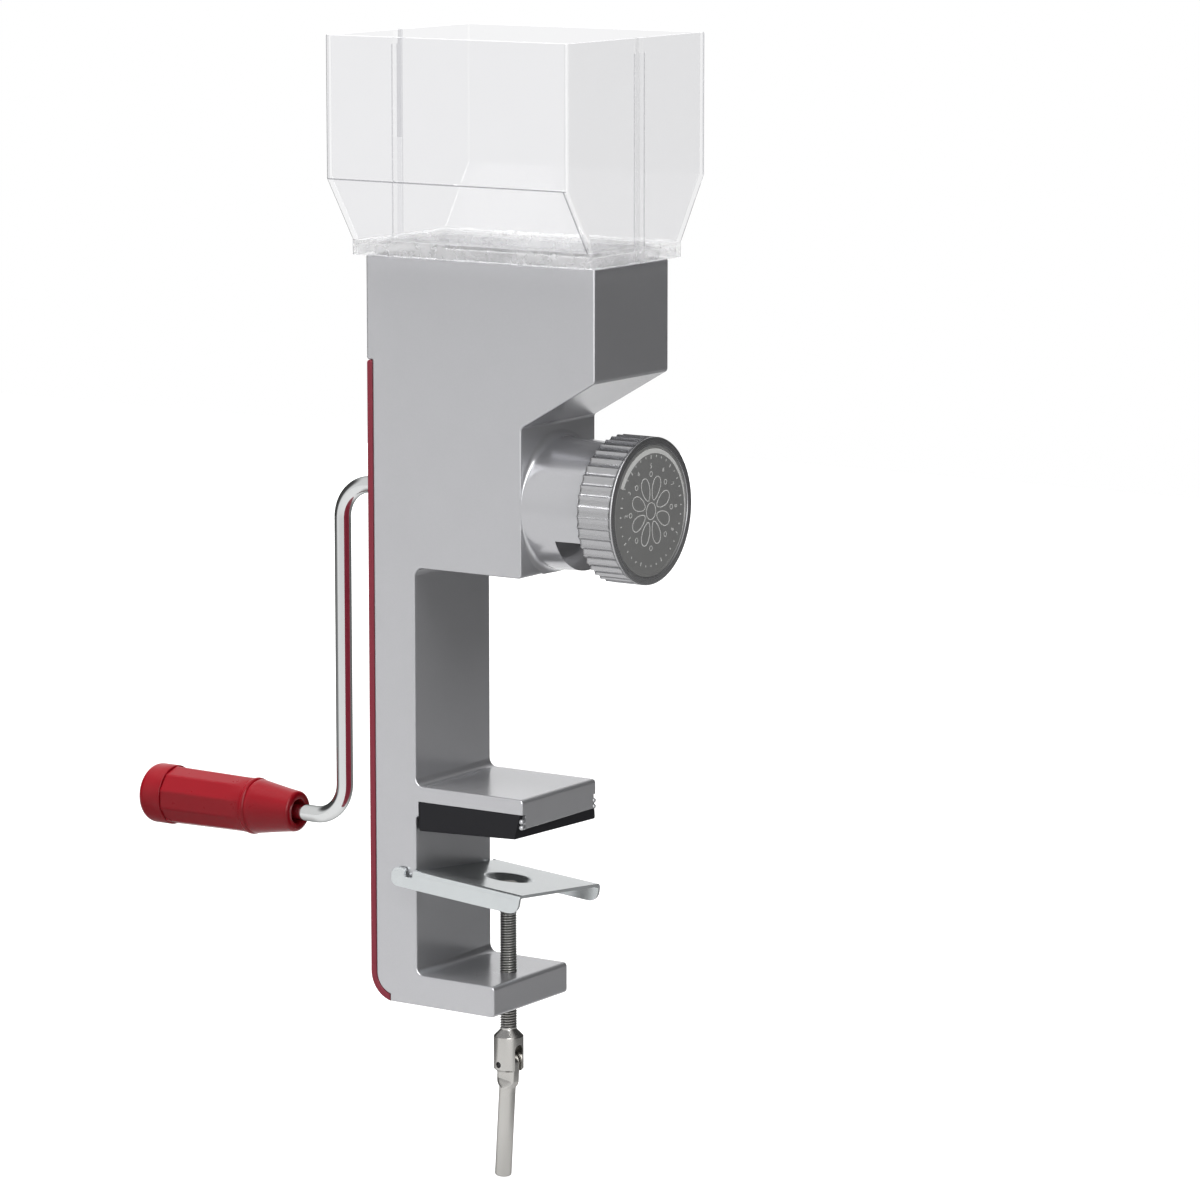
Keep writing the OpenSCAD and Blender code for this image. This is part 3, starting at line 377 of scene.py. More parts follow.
# per finish: material, group, colour, tone, roughness, spread, scale or pitch, relief in micrometres,
# then what the lathe lines need and what goes on the shader's own sockets
finishes = {
    "cast_aluminium": ("castAluminium", grainGroup, (0.56, 0.562, 0.58), 0.06, 0.22, 0.03, 1400.0, 3.0, {},
                       dict(Metallic=0.6, Specular_IOR_Level=0.4)),
    "turned_aluminium": ("turnedAluminium", brushGroup, (0.43, 0.43, 0.44), 0.08, 0.28, 0.1, 0.0005, 6.0,
                         dict(Centre=driveCentre), dict(Metallic=0.85)),
    "red_cover": ("redCover", grainGroup, (0.32, 0.028, 0.052), 0.08, 0.42, 0.1, 1800.0, 10.0, {},
                  dict(Specular_IOR_Level=0.4)),
    "red_grip": ("redGrip", grainGroup, (0.35, 0.003, 0.012), 0.06, 0.3, 0.1, 260.0, 6.0, {},
                 dict(Specular_IOR_Level=0.22, Coat_Weight=0.08, Coat_Roughness=0.14)),
    "black_rubber": ("blackRubber", grainGroup, (0.015, 0.015, 0.018), 0.15, 0.66, 0.1, 900.0, 30.0, {},
                     dict(Specular_IOR_Level=0.25)),
    "zinc_plated": ("zincPlated", grainGroup, (0.66, 0.69, 0.7), 0.09, 0.2, 0.16, 260.0, 1.2, {},
                    dict(Metallic=0.8)),
    # the dark specular tint of clamp steel paints shade on its rims
    "clamp_steel": ("clampSteel", brushGroup, (0.5, 0.49, 0.47), 0.03, 0.2, 0.06, 0.0003, 0.5,
                    dict(Centre=clampCentre, Across=(0, 0, 1)),
                    dict(Metallic=0.95, Specular_Tint=(0.3, 0.3, 0.3, 1))),
    # a dark copy for the thread's roots: painted shade in the grooves
    "thread_root": ("threadRootPaintedShade", grainGroup, (0.07, 0.07, 0.066), 0.2, 0.4, 0.1, 900.0, 4.0, {},
                    dict(Metallic=0.6)),
    "bright_steel": ("brightSteel", brushGroup, (0.56, 0.57, 0.58), 0.06, 0.25, 0.08, 0.0003, 4.0,
                     dict(Centre=driveCentre), dict(Metallic=0.95)),
    "spring_steel": ("springSteel", grainGroup, (0.025, 0.025, 0.028), 0.1, 0.45, 0.1, 700.0, 5.0, {},
                     dict(Specular_IOR_Level=0.3)),
    "burr_steel": ("burrSteel", grainGroup, (0.34, 0.34, 0.35), 0.12, 0.38, 0.12, 1200.0, 12.0, {},
                   dict(Metallic=0.9)),
    "bronze": ("sinteredBronze", grainGroup, (0.5, 0.32, 0.14), 0.14, 0.42, 0.12, 1500.0, 10.0, {},
               dict(Metallic=0.85)),
    # the dark specular tint of chrome paints shade on the rod's rims and bends
    "chrome": ("chromePlate", grainGroup, (0.62, 0.63, 0.63), 0.03, 0.08, 0.04, 90.0, 1.0, {},
               dict(Metallic=1.0, Specular_Tint=(0.2, 0.22, 0.21, 1))),
    "grey_dial": ("greyDial", brushGroup, (0.38, 0.38, 0.375), 0.12, 0.36, 0.1, 0.0006, 5.0,
                  dict(Centre=driveCentre), dict(Metallic=0.35)),
    "dial_print": ("dialPrint", grainGroup, (0.95, 0.95, 0.93), 0.05, 0.45, 0.1, 700.0, 3.0, {}, {}),
}
# clear plastic is thin: a low index keeps its edges light, and a coat makes some edges glossy. The untinted
# copy paints highlights, the dark and grey copies paint shaded lines, and the front copy paints the front
# wall's shade
clearFinishes = {
    "clear_plastic": ("clearPlastic", (0.915, 0.915, 0.922), 0.01, 0.04, 60.0, 4.0, 1.0, 0.0),
    "clear_painted_highlight": ("clearPlasticPaintedHighlight", (1.0, 1.0, 1.0), 0.01, 0.08, 60.0, 4.0, 0.98, 1.0),
    "clear_fold_painted_shade": ("clearPlasticFoldPaintedShade", (0.3, 0.3, 0.32), 0.01, 0.12, 60.0, 4.0, 0.9, 0.0),
    "clear_foot": ("clearPlasticFoot", (0.96, 0.96, 0.965), 0.4, 0.14, 200.0, 600.0, 0.75, 0.0),
    "clear_grey_painted_shade": ("clearPlasticGreyPaintedShade", (0.66, 0.66, 0.68), 0.01, 0.1, 60.0, 4.0, 0.95, 0.0),
    "clear_front_painted_shade": ("clearPlasticFrontPaintedShade", (0.83, 0.83, 0.835), 0.01, 0.04, 60.0, 4.0, 1.0, 0.0),
}
for key, (name, colour, tone, roughness, scale, relief, through, coat) in clearFinishes.items():
    finishes[key] = (name, grainGroup, colour, tone, roughness, 0.02, scale, relief, {}, dict(
        Transmission_Weight=through, IOR=1.1, Coat_Weight=coat, Coat_Roughness=0.1))
materials = {}
for key, (name, group, colour, tone, roughness, spread, step, relief, lathe, shader) in finishes.items():
    values = dict(Color=(*colour, 1), Tone=tone, Roughness=roughness, Spread=spread, Relief=relief * 1e-6)
    values["Scale" if group == grainGroup else "Pitch"] = step
    materials[key] = finishMaterial(name, group, {**values, **lathe}, **shader)
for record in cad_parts.values():
    for place in record.material_slots:
        slotName = place.material.name.split(".")[0] if place.material else ""
        place.material = materials.get(slotName, place.material)
    if record.name.startswith("burr_carrier"):  # painted shade: the darkest finish stands for the shade inside the boss
        record.material_slots[0].material = materials["spring_steel"]
print("stage: materials made")


casting = {
    "width": 62.0, "height": 354.8, "head": 127.4, "neck": 86.9, "slopeLow": 279.4, "slopeHigh": 302.6,
    "columnDepth": 26.8, "armTop": 105.8, "armLow": 91.5, "armLength": 87.4, "footTop": 14.9,
    "foot": 71.0, "headLow": 209.4, "cornerR": 14.0, "coverT": 3.2, "coverTop": 305.5, "wrap": 11.0,
    "wrapZ": 0.28, "seatLow": 15.5, "seatGap": 0.05, "edge": 1.1, "fillet": 4.0, "padSeat": 1.5,
    "soft": 2.0, "crisp": 1.2, "bossR": 31.0, "bossFrontR": 29.8, "bossCore": 29.0, "bossEnd": 119.0,
    "bossEdge": 0.6, "flare": 3.4, "steps": 128,
    "bead": 1.25, "beadX": 86.3, "beadY": 30.1, "beadZ": (92.6, 95.4),
}
hollow = {
    "wall": 5.0, "column": 21.8, "columnTop": 214.4, "duct": 29.0, "ductTop": 278.0, "ductBack": 9.0,
    "top": 297.5, "corner": 3.0, "bin": 122.4, "binR": 4.0, "rearDrop": 39.0, "throat": (44.0, 74.0),
    "throatY": 15.0, "open": 360.0, "past": 40.0,
    "bores": {"feedBore": (34.0, 76.2, 20.0, 96), "burrBore": (76.0, 126.0, 26.0, 96),
              "bushBore": (8.0, 36.0, 10.05, 64)},
    "outletX": (103.2, 119.0), "outletZ": (180.0, 228.0), "railX": (28.3, 95.0), "railY": 28.3,
    "railZ": (85.0, 98.7), "spindleR": 4.05, "guideR": 2.05, "guideX": 82.0,
}


def coverArc(radius, steps=12):
    # part of the rear bottom corner's arc that the cover wraps, from its foot up to the column
    c = casting
    low = math.degrees(math.acos((c["wrap"] - c["cornerR"]) / radius))
    a = np.radians(np.linspace(360 - low, 180, steps + 1))
    return np.stack([c["cornerR"] + radius * np.cos(a), c["cornerR"] + radius * np.sin(a)], 1)


def castingOutline():
    # the side view, from the cover's foot forwards and round to the cover's seat
    c = casting
    gap, fillet, soft, crisp = c["seatGap"], c["fillet"], c["soft"], c["crisp"]
    column, seat, top = c["columnDepth"], c["coverT"] + c["seatGap"], c["coverTop"] + c["seatGap"]
    sides = rounded([
        [c["wrap"] + gap, c["wrapZ"], 0], [c["foot"], 0, soft], [c["foot"], c["footTop"], soft],
        [column, c["footTop"], fillet], [column, c["armLow"], c["padSeat"]],
        [c["armLength"], c["armLow"], crisp], [c["armLength"], c["armTop"], soft],
        [column, c["armTop"], fillet], [column, c["headLow"], fillet], [c["neck"], c["headLow"], soft],
        [c["neck"], c["slopeLow"], soft], [c["head"], c["slopeHigh"], soft],
        [c["head"], c["height"], crisp], [0, c["height"], crisp], [0, top, crisp],
        [seat, top, 0.3], [seat, c["seatLow"], 0]])
    return np.concatenate([sides, coverArc(c["cornerR"] - c["coverT"] - gap)[::-1][1:]])


def makeBoss():
    # a short cone; the hollow fillet at its root has the radius flare * (1 - sin(b) ** 6), where
    # b is the angle from the top, so it fades where the boss is tangent to the sides
    c = casting
    b = np.arange(c["steps"]) / c["steps"] * fullTurn
    root = np.maximum(c["flare"] * (1 - np.sin(b) ** 6), 0.02)[None]
    flat = np.ones_like(root)
    t = np.radians(np.linspace(0, 90, 9))[:, None]
    end, edge, past = c["bossEnd"], c["bossEdge"], c["bossEnd"] + 6
    nose = profile(arcProfile((end - edge, c["bossFrontR"] - edge), edge, 90, 0, 4),
                   [end, c["bossCore"]], [past, c["bossCore"]], [past, 0])
    start = (c["neck"] - 2) * flat
    lengths = np.concatenate([start, start, c["neck"] + root * (1 - np.cos(t)), nose[:, :1] * flat])
    radii = np.concatenate([0 * flat, c["bossR"] + root, c["bossR"] + root * (1 - np.sin(t)),
                            nose[:, 1:] * flat])
    boss = newPiece("boss", turned(lengths, radii, [0, 0, driveZ], (1, 0, 0), c["steps"]))
    side = c["width"] / 2 - 0.02
    keep = block(c["neck"] - 3, past + 5, -side, side, c["headLow"] + 0.02, c["slopeHigh"])
    return combine(boss, [newPiece("keep", keep)], "INTERSECT")


def makeHollows():
    c, h = casting, hollow
    inside, r = c["width"] / 2 - h["wall"], h["corner"]
    column = newPiece("column", pillow(rounded([
        [-2, c["footTop"], 0], [h["column"], c["footTop"], r], [h["column"], h["columnTop"], r],
        [h["duct"], h["columnTop"], r], [h["duct"], h["ductTop"], r], [h["ductBack"], h["top"], r],
        [-2, h["top"], 0]]), -inside, inside))
    # the bin's floor lies one wall above the slope under the nose
    rear, front = h["throat"]
    rise = (c["slopeHigh"] - c["slopeLow"]) / (c["head"] - c["neck"])
    low = c["slopeLow"] + (front - c["neck"]) * rise + h["wall"] * math.sqrt(1 + rise * rise)
    binSpace = newPiece("binSpace", pillow(rounded([
        [h["wall"], h["open"], 0], [h["wall"], low + h["rearDrop"], h["binR"]], [rear, low, 0],
        [rear, driveZ, 0], [front, driveZ, 0], [front, low, 0],
        [h["bin"], low + (h["bin"] - front) * rise, h["binR"]], [h["bin"], h["open"], 0]]), -inside, inside))
    y, slant, top = h["throatY"], low + inside - h["throatY"], h["open"] + 1
    section = rounded([[-y, driveZ - 1.5, 0], [y, driveZ - 1.5, 0], [y, low, r], [inside, slant, h["binR"]],
                       [inside, top, 0], [-inside, top, 0], [-inside, slant, h["binR"]], [-y, low, r]])
    points, faces = pillow(section, h["wall"] - 1, h["bin"] + 0.6)
    combine(binSpace, [newPiece("across", (points[..., [1, 0, 2]], faces))], "INTERSECT")
    bores = [bore(name, *sizes) for name, sizes in h["bores"].items()]
    outlet = newPiece("outlet", block(*h["outletX"], -h["past"], h["past"], *h["outletZ"]))
    rails = [newPiece("rail", block(*h["railX"], *sides, *h["railZ"]))
             for sides in ((-h["past"], -h["railY"]), (h["railY"], h["past"]))]
    holes = [bore("spindleHole", -2, 20, h["spindleR"], 48, (clampX, 0, 0), (0, 0, 1)),
             bore("guideHole", 200, 219, h["guideR"], 32, (h["guideX"], 0, 0), (0, 0, 1))]
    return [column, binSpace, *bores, outlet, *rails, *holes]


def buildCasting():
    c = casting
    half = c["width"] / 2
    body = newPiece("castingBody", pillow(castingOutline(), -half, half, c["edge"], 5))
    combine(body, [makeBoss()], "UNION")
    combine(body, makeHollows())
    a = np.radians(np.linspace(0, 180, 9))
    x, r = -c["bead"] * np.cos(a), c["bead"] * np.sin(a)
    combine(body, [newPiece("bead", turned(x, r, [c["beadX"], y, z], (1, 0, 0), 24))
                   for y in (-c["beadY"], c["beadY"]) for z in c["beadZ"]], "UNION")
    dress(body, "mill_body", "cast_aluminium", "body_casting", angle=32)


buildCasting()
print("stage: casting made")


cover = {
    "edge": 0.7, "sideGap": 0.1, "innerR": 0.8, "outerR": 1.6, "shaftHole": 7.3, "screwY": 22.5,
    "screwZ": (26.9, 285.5), "sink": ((-1, 0), (-1, 4.05), (0, 4.05), (2, 2.05), (6, 2.05), (6, 0)),
}


def buildCover():
    c = casting
    side = c["width"] / 2 - cover["sideGap"]
    top = rounded([[c["coverT"], 100, 0], [c["coverT"], c["coverTop"], cover["innerR"]],
                   [0, c["coverTop"], cover["outerR"]], [0, 100, 0]])[1:-1]
    outline = np.concatenate([coverArc(c["cornerR"] - c["coverT"]), top, coverArc(c["cornerR"])[::-1]])
    plate = newPiece("rearCover", pillow(outline, -side, side, cover["edge"], 4))
    sink = np.array(cover["sink"])
    combine(plate, [bore("shaftHole", -3, 6, cover["shaftHole"], 64)] + [
        latheWork("sink", sink, 32, (0, y, z))
        for y in (-cover["screwY"], cover["screwY"]) for z in cover["screwZ"]])
    dress(plate, "mill_body", "red_cover", "rear_cover")


buildCover()

pad = {
    "rear": 28.6, "front": 86.0, "low": 85.5, "top": 98.6, "slotLow": 91.45, "railIn": 2.65,
    "cornerR": 1.2, "topR": (0.6, 0.5), "slotR": 0.3, "edge": 0.35, "rise": 2.2, "lean": 2.2,
}


def buildPad():
    p = pad
    half = casting["width"] / 2
    low, top, slot = p["low"], p["top"], p["slotLow"]
    lip = half - p["railIn"]
    outR, inR = p["topR"]
    # the section is an outline in y and z; drawn in the first two columns and turned at the end
    section = rounded([
        [-half, low, p["cornerR"]], [half, low, p["cornerR"]], [half, top, outR], [lip, top, inR],
        [lip, slot, p["slotR"]], [-lip, slot, p["slotR"]], [-lip, top, inR], [-half, top, outR]], 4)
    points, faces = pillow(section, p["rear"], p["front"], p["edge"], 3)
    # the underside rises towards the front, and the front end leans back on the near side:
    # dx = lean * (y / half - 0.6) * depth, where depth runs from 0 at the lips to 1 underneath
    y, x, z = np.moveaxis(points, -1, 0)
    along = (x - p["rear"]) / (p["front"] - p["rear"])
    depth = (top - z) / (top - low)
    solid = np.clip((slot - 0.05 - z) / 5.9, 0, 1)
    z = z + np.where(z < 91, (along - 0.5) * p["rise"] * solid, 0)
    x = x + np.where(along > 0.5, p["lean"] * (y / half - 0.6) * depth, 0)
    piece = newPiece("rubberPad", (np.stack([x, y, z], -1), faces))
    dress(piece, "mill_body", "black_rubber", "rubber_pad")


buildPad()
print("stage: cover and pad made")

hopper = {
    "wall": 2.4, "rear": -3.5, "front": 130.9, "baseHalf": 38.1, "topHalf": 57.75, "height": 102.6,
    "fold": 36.7, "skirt": 7.4, "skirtGap": 0.25, "plug": 8.0, "outerR": 3.0, "innerR": 0.8, "rimR": 0.6,
    "rim": 0.7, "stripW": 4.0, "stripT": 0.8, "stripTop": 95.6, "seam": 0.05, "foldBow": 0.35,
    "slotFrom": 52.0, "mouth": [7.7, 119.7, 23.3, 1.2], "plugSide": [5.3, 122.1, 25.7, 2.5],
    "seat": [2.6, 124.8, 28.4, 3.0], "middle": 60.0,
}


def hopperRows():
    # rows of (rear x, front x, half width, corner radius, z, strip) round one wall's section:
    # up the outside, over the rim, down the inside, over the floor, round the plug and skirt
    h = hopper
    taper = (h["topHalf"] - h["baseHalf"]) / (h["fold"] - h["skirt"])
    slant = math.sqrt(1 + taper * taper)
    w, r, bow, top, skirt = h["wall"], h["outerR"], h["foldBow"], h["topHalf"], h["skirt"]
    x0, x1 = h["rear"], h["front"]
    innerFold = h["fold"] + w * (slant - 1) / taper
    rows = [[x0, x1, h["baseHalf"], r, h["skirtGap"], 1], [x0, x1, h["baseHalf"], r, skirt, 1]]
    for step in np.linspace(-1, 1, 5):  # rounded fold outside
        rows.append([x0, x1, top - taper * bow * (1 - step) ** 2 / 4, r, h["fold"] + bow * step, 1])
    rows += [[x0, x1, top, r, h["slotFrom"], 1], [x0, x1, top, r, h["stripTop"], 1],
             [x0, x1, top, r, h["stripTop"], 0]]
    for start, end in ((0, 90), (90, 0)):  # up and over the rim, then down its inside
        for a in np.radians(np.linspace(start, end, 5)):
            inset = h["rim"] * (1 - math.cos(a))
            inset = inset if end else w - inset
            z = h["height"] - h["rim"] * (1 - math.sin(a))
            rows.append([x0 + inset, x1 - inset, top - inset, max(r - inset, h["rimR"]), z, 0])
    inner = [x0 + w, x1 - w]
    for step in np.linspace(1, -1, 5):  # rounded fold inside
        half = top - w - taper * bow * (1 - step) ** 2 / 4
        rows.append(inner + [half, h["innerR"], innerFold + bow * step, 0])
    base = inner + [h["baseHalf"] - w * slant, h["innerR"]]
    rows += [base + [skirt, 0], h["mouth"] + [skirt, 0], h["mouth"] + [-h["plug"], 0],
             h["plugSide"] + [-h["plug"], 0], h["plugSide"] + [0, 0], h["seat"] + [0, 0],
             h["seat"] + [skirt - w, 0], base + [skirt - w, 0], base + [h["skirtGap"], 0]]
    return np.array(rows)


def hopperHalf(side):
    # each row runs from the rear seam along the rear wall, round two corners and back to the
    # front seam: y = half width times side, with quarter arcs of the row's radius at the corners
    h = hopper
    x0, x1, half, r, z, strip = hopperRows().T
    a = np.radians(np.linspace(0, 90, 7))
    share = np.linspace(0, 1, 9)[1:-1]
    one = np.ones(len(z))
    flatY = [h["seam"] * one, h["stripW"] * one, h["stripW"] * one]
    lift = strip * h["stripT"]
    columns = [(x0 - lift, flatY[0]), (x0 - lift, flatY[1]), (x0, flatY[2])]
    columns += [(x0 + r * (1 - math.cos(b)), half - r * (1 - math.sin(b))) for b in a]
    columns += [(x0 + r + (x1 - x0 - 2 * r) * s, half) for s in share]
    columns += [(x1 - r * (1 - math.cos(b)), half - r * (1 - math.sin(b))) for b in a[::-1]]
    columns += [(x1, flatY[2]), (x1 + lift, flatY[1]), (x1 + lift, flatY[0])]
    x = np.stack([c[0] for c in columns], 1)
    y = np.stack([c[1] for c in columns], 1) * side
    points = np.stack([x, y, np.repeat(z[:, None] + casting["height"], x.shape[1], 1)], -1)
    return points, gridFaces(*x.shape, closeRows=True) + columnCaps(*x.shape)


def buildHopper(side, label, name):
    # the moulding's foot is streaky; a painted highlight lies on the middles of its corners, the notch, the
    # seam and the near rear slot, painted dark lines on its fold and a crease, painted grey shade on the
    # outline corners, the strip sides and the far rear slot, and painted shade on the front wall
    h = hopper
    shell = newPiece(label, hopperHalf(side))
    dress(shell, "hopper", "clear_plastic", name, angle=30)
    for finish in ("clear_painted_highlight", "clear_fold_painted_shade", "clear_foot", "clear_grey_painted_shade", "clear_front_painted_shade"):
        shell.data.materials.append(materials[finish])
    x, y, z = toCasting(readRows(shell.data.polygons, "center")).T
    y, z = np.abs(y), z - casting["height"]
    half = np.interp(z, [h["skirt"], h["fold"]], [h["baseHalf"], h["topHalf"]])
    r = h["outerR"]
    near, front, upper = side < 0, x > h["middle"], z > h["fold"]
    inX = np.maximum(np.maximum(h["rear"] + r - x, x - h["front"] + r), 0)  # past the corner's centre
    inY = np.maximum(y - half + r, 0)
    corner = (inX > 0) & (inY > 0) & (np.hypot(inX, inY) > r - 0.4)
    ridge = corner & (front == near) & (inX > 0.6 * inY) & (inY > 0.6 * inX)  # middle of the arc, given a painted highlight
    outline = corner & upper & (front != near)  # the two corners seen against the sky, given painted grey shade
    crease = corner & (z < h["fold"]) & front & near & (inX < 0.3 * inY)
    fold = near & (np.abs(z - h["fold"]) < h["foldBow"] + 0.1) & (inY > r - 0.6) & (inX < r - 0.6)
    slot = (x < h["rear"] + 0.1) & (y < h["stripW"]) & (z > h["slotFrom"])
    seam = (y < h["seam"] + 0.01) & (inX > 0) & near & front
    notch = (x > h["front"] - 0.1) & (y < h["stripW"]) & (z > h["stripTop"])
    stripSide = (np.abs(y - h["stripW"]) < 0.05) & (inX > r)
    # faces per finish: plain wall, painted highlight, painted dark line, streaky foot, painted grey shade,
    # painted front-wall shade
    plain, edge, darkLineShade, foot, greyShade, frontWallShade = range(6)
    pick = np.where(x > h["front"] - h["wall"] - 0.1, frontWallShade, plain)
    pick = np.where(ridge | notch | (slot & near) | seam, edge, pick)
    pick = np.where(outline | stripSide | (slot & (not near)), greyShade, pick)
    pick = np.where(fold | crease, darkLineShade, pick)
    pick = np.where(z < h["skirt"] + 0.1, foot, pick)
    shell.data.polygons.foreach_set("material_index", pick.astype(np.int32))


buildHopper(-1, "hopperNear", "hopper_near_half")
buildHopper(1, "hopperFar", "hopper_far_half")
print("stage: hopper made")

knob = {
    "rear": 119.3, "end": 138.4, "r": 34.2, "skirtIn": 29.3, "flutes": 44, "depth": 1.0, "land": 0.44,
    "fluteStop": 0.9, "fadeL": 1.9, "rim": 0.6, "dialR": 30.55, "dialX": 136.4, "web": 132.4,
    "perFlute": 10, "hub": (120.6, 20.05, 23.0), "ring": (121.5, 122.9, 30.5),
}


def buildKnob():
    # the outside's radius is r - depth * bowl(angle) * fade(x), where bowl is a rounded
    # hollow once per flute and fade closes each flute before the front face
    k = knob
    steps = k["flutes"] * k["perFlute"]
    x = np.concatenate([[k["rear"], k["rear"] + 0.4], np.linspace(k["rear"] + 1.5, k["end"] - 5.0, 5),
                        np.linspace(k["end"] - 4.2, k["end"] - k["fluteStop"] + 0.1, 11)])
    phase = (np.arange(steps) / k["perFlute"]) % 1.0 - 0.5
    bowl = np.sqrt(np.clip(1 - (phase / k["land"]) ** 2, 0, 1))
    fade = np.clip((k["end"] - k["fluteStop"] - x) / k["fadeL"], 0, 1)
    fade = np.sqrt(1 - (1 - fade) ** 2)
    side = k["r"] - k["depth"] * bowl[None] * fade[:, None]
    side[0] -= 0.3
    front = profile(arcProfile((k["end"] - k["rim"], k["r"] - k["rim"]), k["rim"], 80, 0, 6),
                    [k["end"], k["dialR"] + 0.3], [k["end"] - 0.3, k["dialR"]],
                    [k["dialX"], k["dialR"]], [k["dialX"], 0])
    hubX, hubIn, hubOut = k["hub"]
    ringX0, ringX1, ringR = k["ring"]
    web, skirt = k["web"], k["skirtIn"]
    back = profile([web, 0], [web, hubIn], [hubX, hubIn], [hubX, hubOut], [web, hubOut], [web, skirt],
                   [ringX1, skirt], [ringX1, ringR], [ringX0, ringR], [ringX0, skirt], [k["rear"], skirt])
    radius = np.concatenate([np.repeat(back[:, 1:], steps, 1), side, np.repeat(front[:, 1:], steps, 1)])
    length = np.concatenate([back[:, 0], x, front[:, 0]])
    piece = newPiece("adjustingKnob", turned(length, radius, [0, 0, driveZ], (1, 0, 0), steps))
    dress(piece, "knob", "turned_aluminium", "adjusting_knob", angle=38, weighted=False)


buildKnob()

dial = {
    "x": 136.4, "face": 138.2, "r": 30.5, "lip": 0.35, "floor": 0.25, "print": (0.3, 0.17), "line": 0.42,
    "arc": (28.9, 2.6, -62, 112), "ticks": 36, "tick": (25.0, 25.9, 0.6), "longTick": 24.2,
    "petal": (11.0, 5.6, 3.1), "bead": (17.2, 1.1, 0.34), "ringR": 3.9, "petals": 8,
    "figures": 9, "text": 3.2, "textR": 20.8, "textFrom": -120, "textStep": 30, "textT": 0.06,
}


def ringSector(inner, outer, start, end, x0, x1, steps=64):
    # a flat ring sector, angles in degrees clockwise from the top as seen from the front
    a = np.radians(np.linspace(start, end, steps + 1))
    inner = np.broadcast_to(np.asarray(inner, dtype=float), a.shape)
    outer = np.broadcast_to(np.asarray(outer, dtype=float), a.shape)
    rows = []
    for r, x in ((inner, x0), (outer, x0), (outer, x1), (inner, x1)):
        rows.append(np.stack([np.full(a.shape, x), r * np.sin(a), driveZ + r * np.cos(a)], -1))
    points = np.stack(rows)
    return points, gridFaces(4, len(a), closeRows=True) + columnCaps(4, len(a))


def ribbon(y, z, width, x0, x1):
    # a closed line on the dial, width wide: each point moves half of it along the line's normal
    ahead = np.stack([np.roll(y, -1) - np.roll(y, 1), np.roll(z, -1) - np.roll(z, 1)], 1)
    ahead /= np.linalg.norm(ahead, axis=1)[:, None]
    outY, outZ = y + ahead[:, 1] * width / 2, z - ahead[:, 0] * width / 2
    inY, inZ = y - ahead[:, 1] * width / 2, z + ahead[:, 0] * width / 2
    rows = [np.stack([np.full(y.shape, x), py, driveZ + pz], -1) for py, pz, x in
            ((inY, inZ, x0), (outY, outZ, x0), (outY, outZ, x1), (inY, inZ, x1))]
    return np.stack(rows), gridFaces(4, len(y), closeRows=True, closeColumns=True)


def turnedRibbon(u, v, spin, width, x0, x1):
    # a ribbon drawn with u outwards from the axis and v across, turned by spin from the top
    y = u * math.sin(spin) + v * math.cos(spin)
    z = u * math.cos(spin) - v * math.sin(spin)
    return ribbon(y, z, width, x0, x1)


def dialFigure(number, x):
    # a flat text mesh, turned to its place on the scale and set up on the face
    d = dial
    curve = bpy.data.curves.new("figure", "FONT")
    curve.body, curve.size, curve.extrude = str(number + 1), d["text"], d["textT"]
    curve.align_x, curve.align_y = "CENTER", "CENTER"
    holder = bpy.data.objects.new("figure", curve)
    bpy.context.scene.collection.objects.link(holder)
    flat = bpy.data.meshes.new_from_object(holder.evaluated_get(bpy.context.evaluated_depsgraph_get()))
    bpy.data.objects.remove(holder, do_unlink=True)
    a = math.radians(d["textFrom"] + number * d["textStep"])
    u, v, w = readRows(flat.vertices, "co").T
    y = u * math.cos(a) + (v + d["textR"]) * math.sin(a)
    z = -u * math.sin(a) + (v + d["textR"]) * math.cos(a)
    flat.vertices.foreach_set("co", toRow(np.stack([x + d["textT"] + w, y, driveZ + z], -1)).ravel())
    return flat


def buildDial():
    d = dial
    x, face, r, lip, floor = d["x"], d["face"], d["r"], d["lip"], d["face"] - d["floor"]
    edge = profile([x, 0], [x, r - 0.2], [x + 0.2, r], [face - lip, r],
                   arcProfile((face - lip, r - lip), lip, 90, 0, 3), [face, r - 1.1],
                   [floor, r - 1.4], [floor, 0])
    dress(latheWork("dialPlate", edge, 128), "knob", "grey_dial", "knob_dial")
    x0, x1 = [face - depth for depth in d["print"]]
    outer, width, start, end = d["arc"]
    parts = [ringSector(outer - width * (1 - np.linspace(0, 1, 65) ** 2), outer, start, end, x0, x1)]
    short, outer, half = d["tick"]
    for tick in range(d["ticks"]):
        angle = tick * 360 / d["ticks"]
        inner = short if tick % 4 else d["longTick"]
        parts.append(ringSector(inner, outer, angle - half, angle + half, x0, x1, 1))
    # line drawing: a rosette of petals round a small ring, and a ring of beads
    b = np.linspace(0, fullTurn, 41)[:-1]
    step = fullTurn / d["petals"]
    far, long, wide = d["petal"]
    beadFar, beadR, beadLine = d["bead"]
    for petal in range(d["petals"]):
        u, v = far + long * np.cos(b), wide * np.sin(b) * (1 + 0.25 * np.cos(b))
        parts.append(turnedRibbon(u, v, (petal + 0.5) * step, d["line"], x0, x1))
        u, v = beadFar + beadR * np.cos(b), beadR * np.sin(b)
        parts.append(turnedRibbon(u, v, (petal + 1) * step, beadLine, x0, x1))
    parts.append(ribbon(d["ringR"] * np.cos(b), d["ringR"] * np.sin(b), d["line"], x0, x1))
    marks = newPiece("dialMarks", *parts)
    for number in range(d["figures"]):
        both = bmesh.new()
        both.from_mesh(marks.data)
        both.from_mesh(dialFigure(number, x0))
        bmesh.ops.remove_doubles(both, verts=both.verts, dist=1e-6)
        both.to_mesh(marks.data)
        both.free()
    dress(marks, "knob", "dial_print", angle=30, weighted=False)


buildDial()
print("stage: knob made")

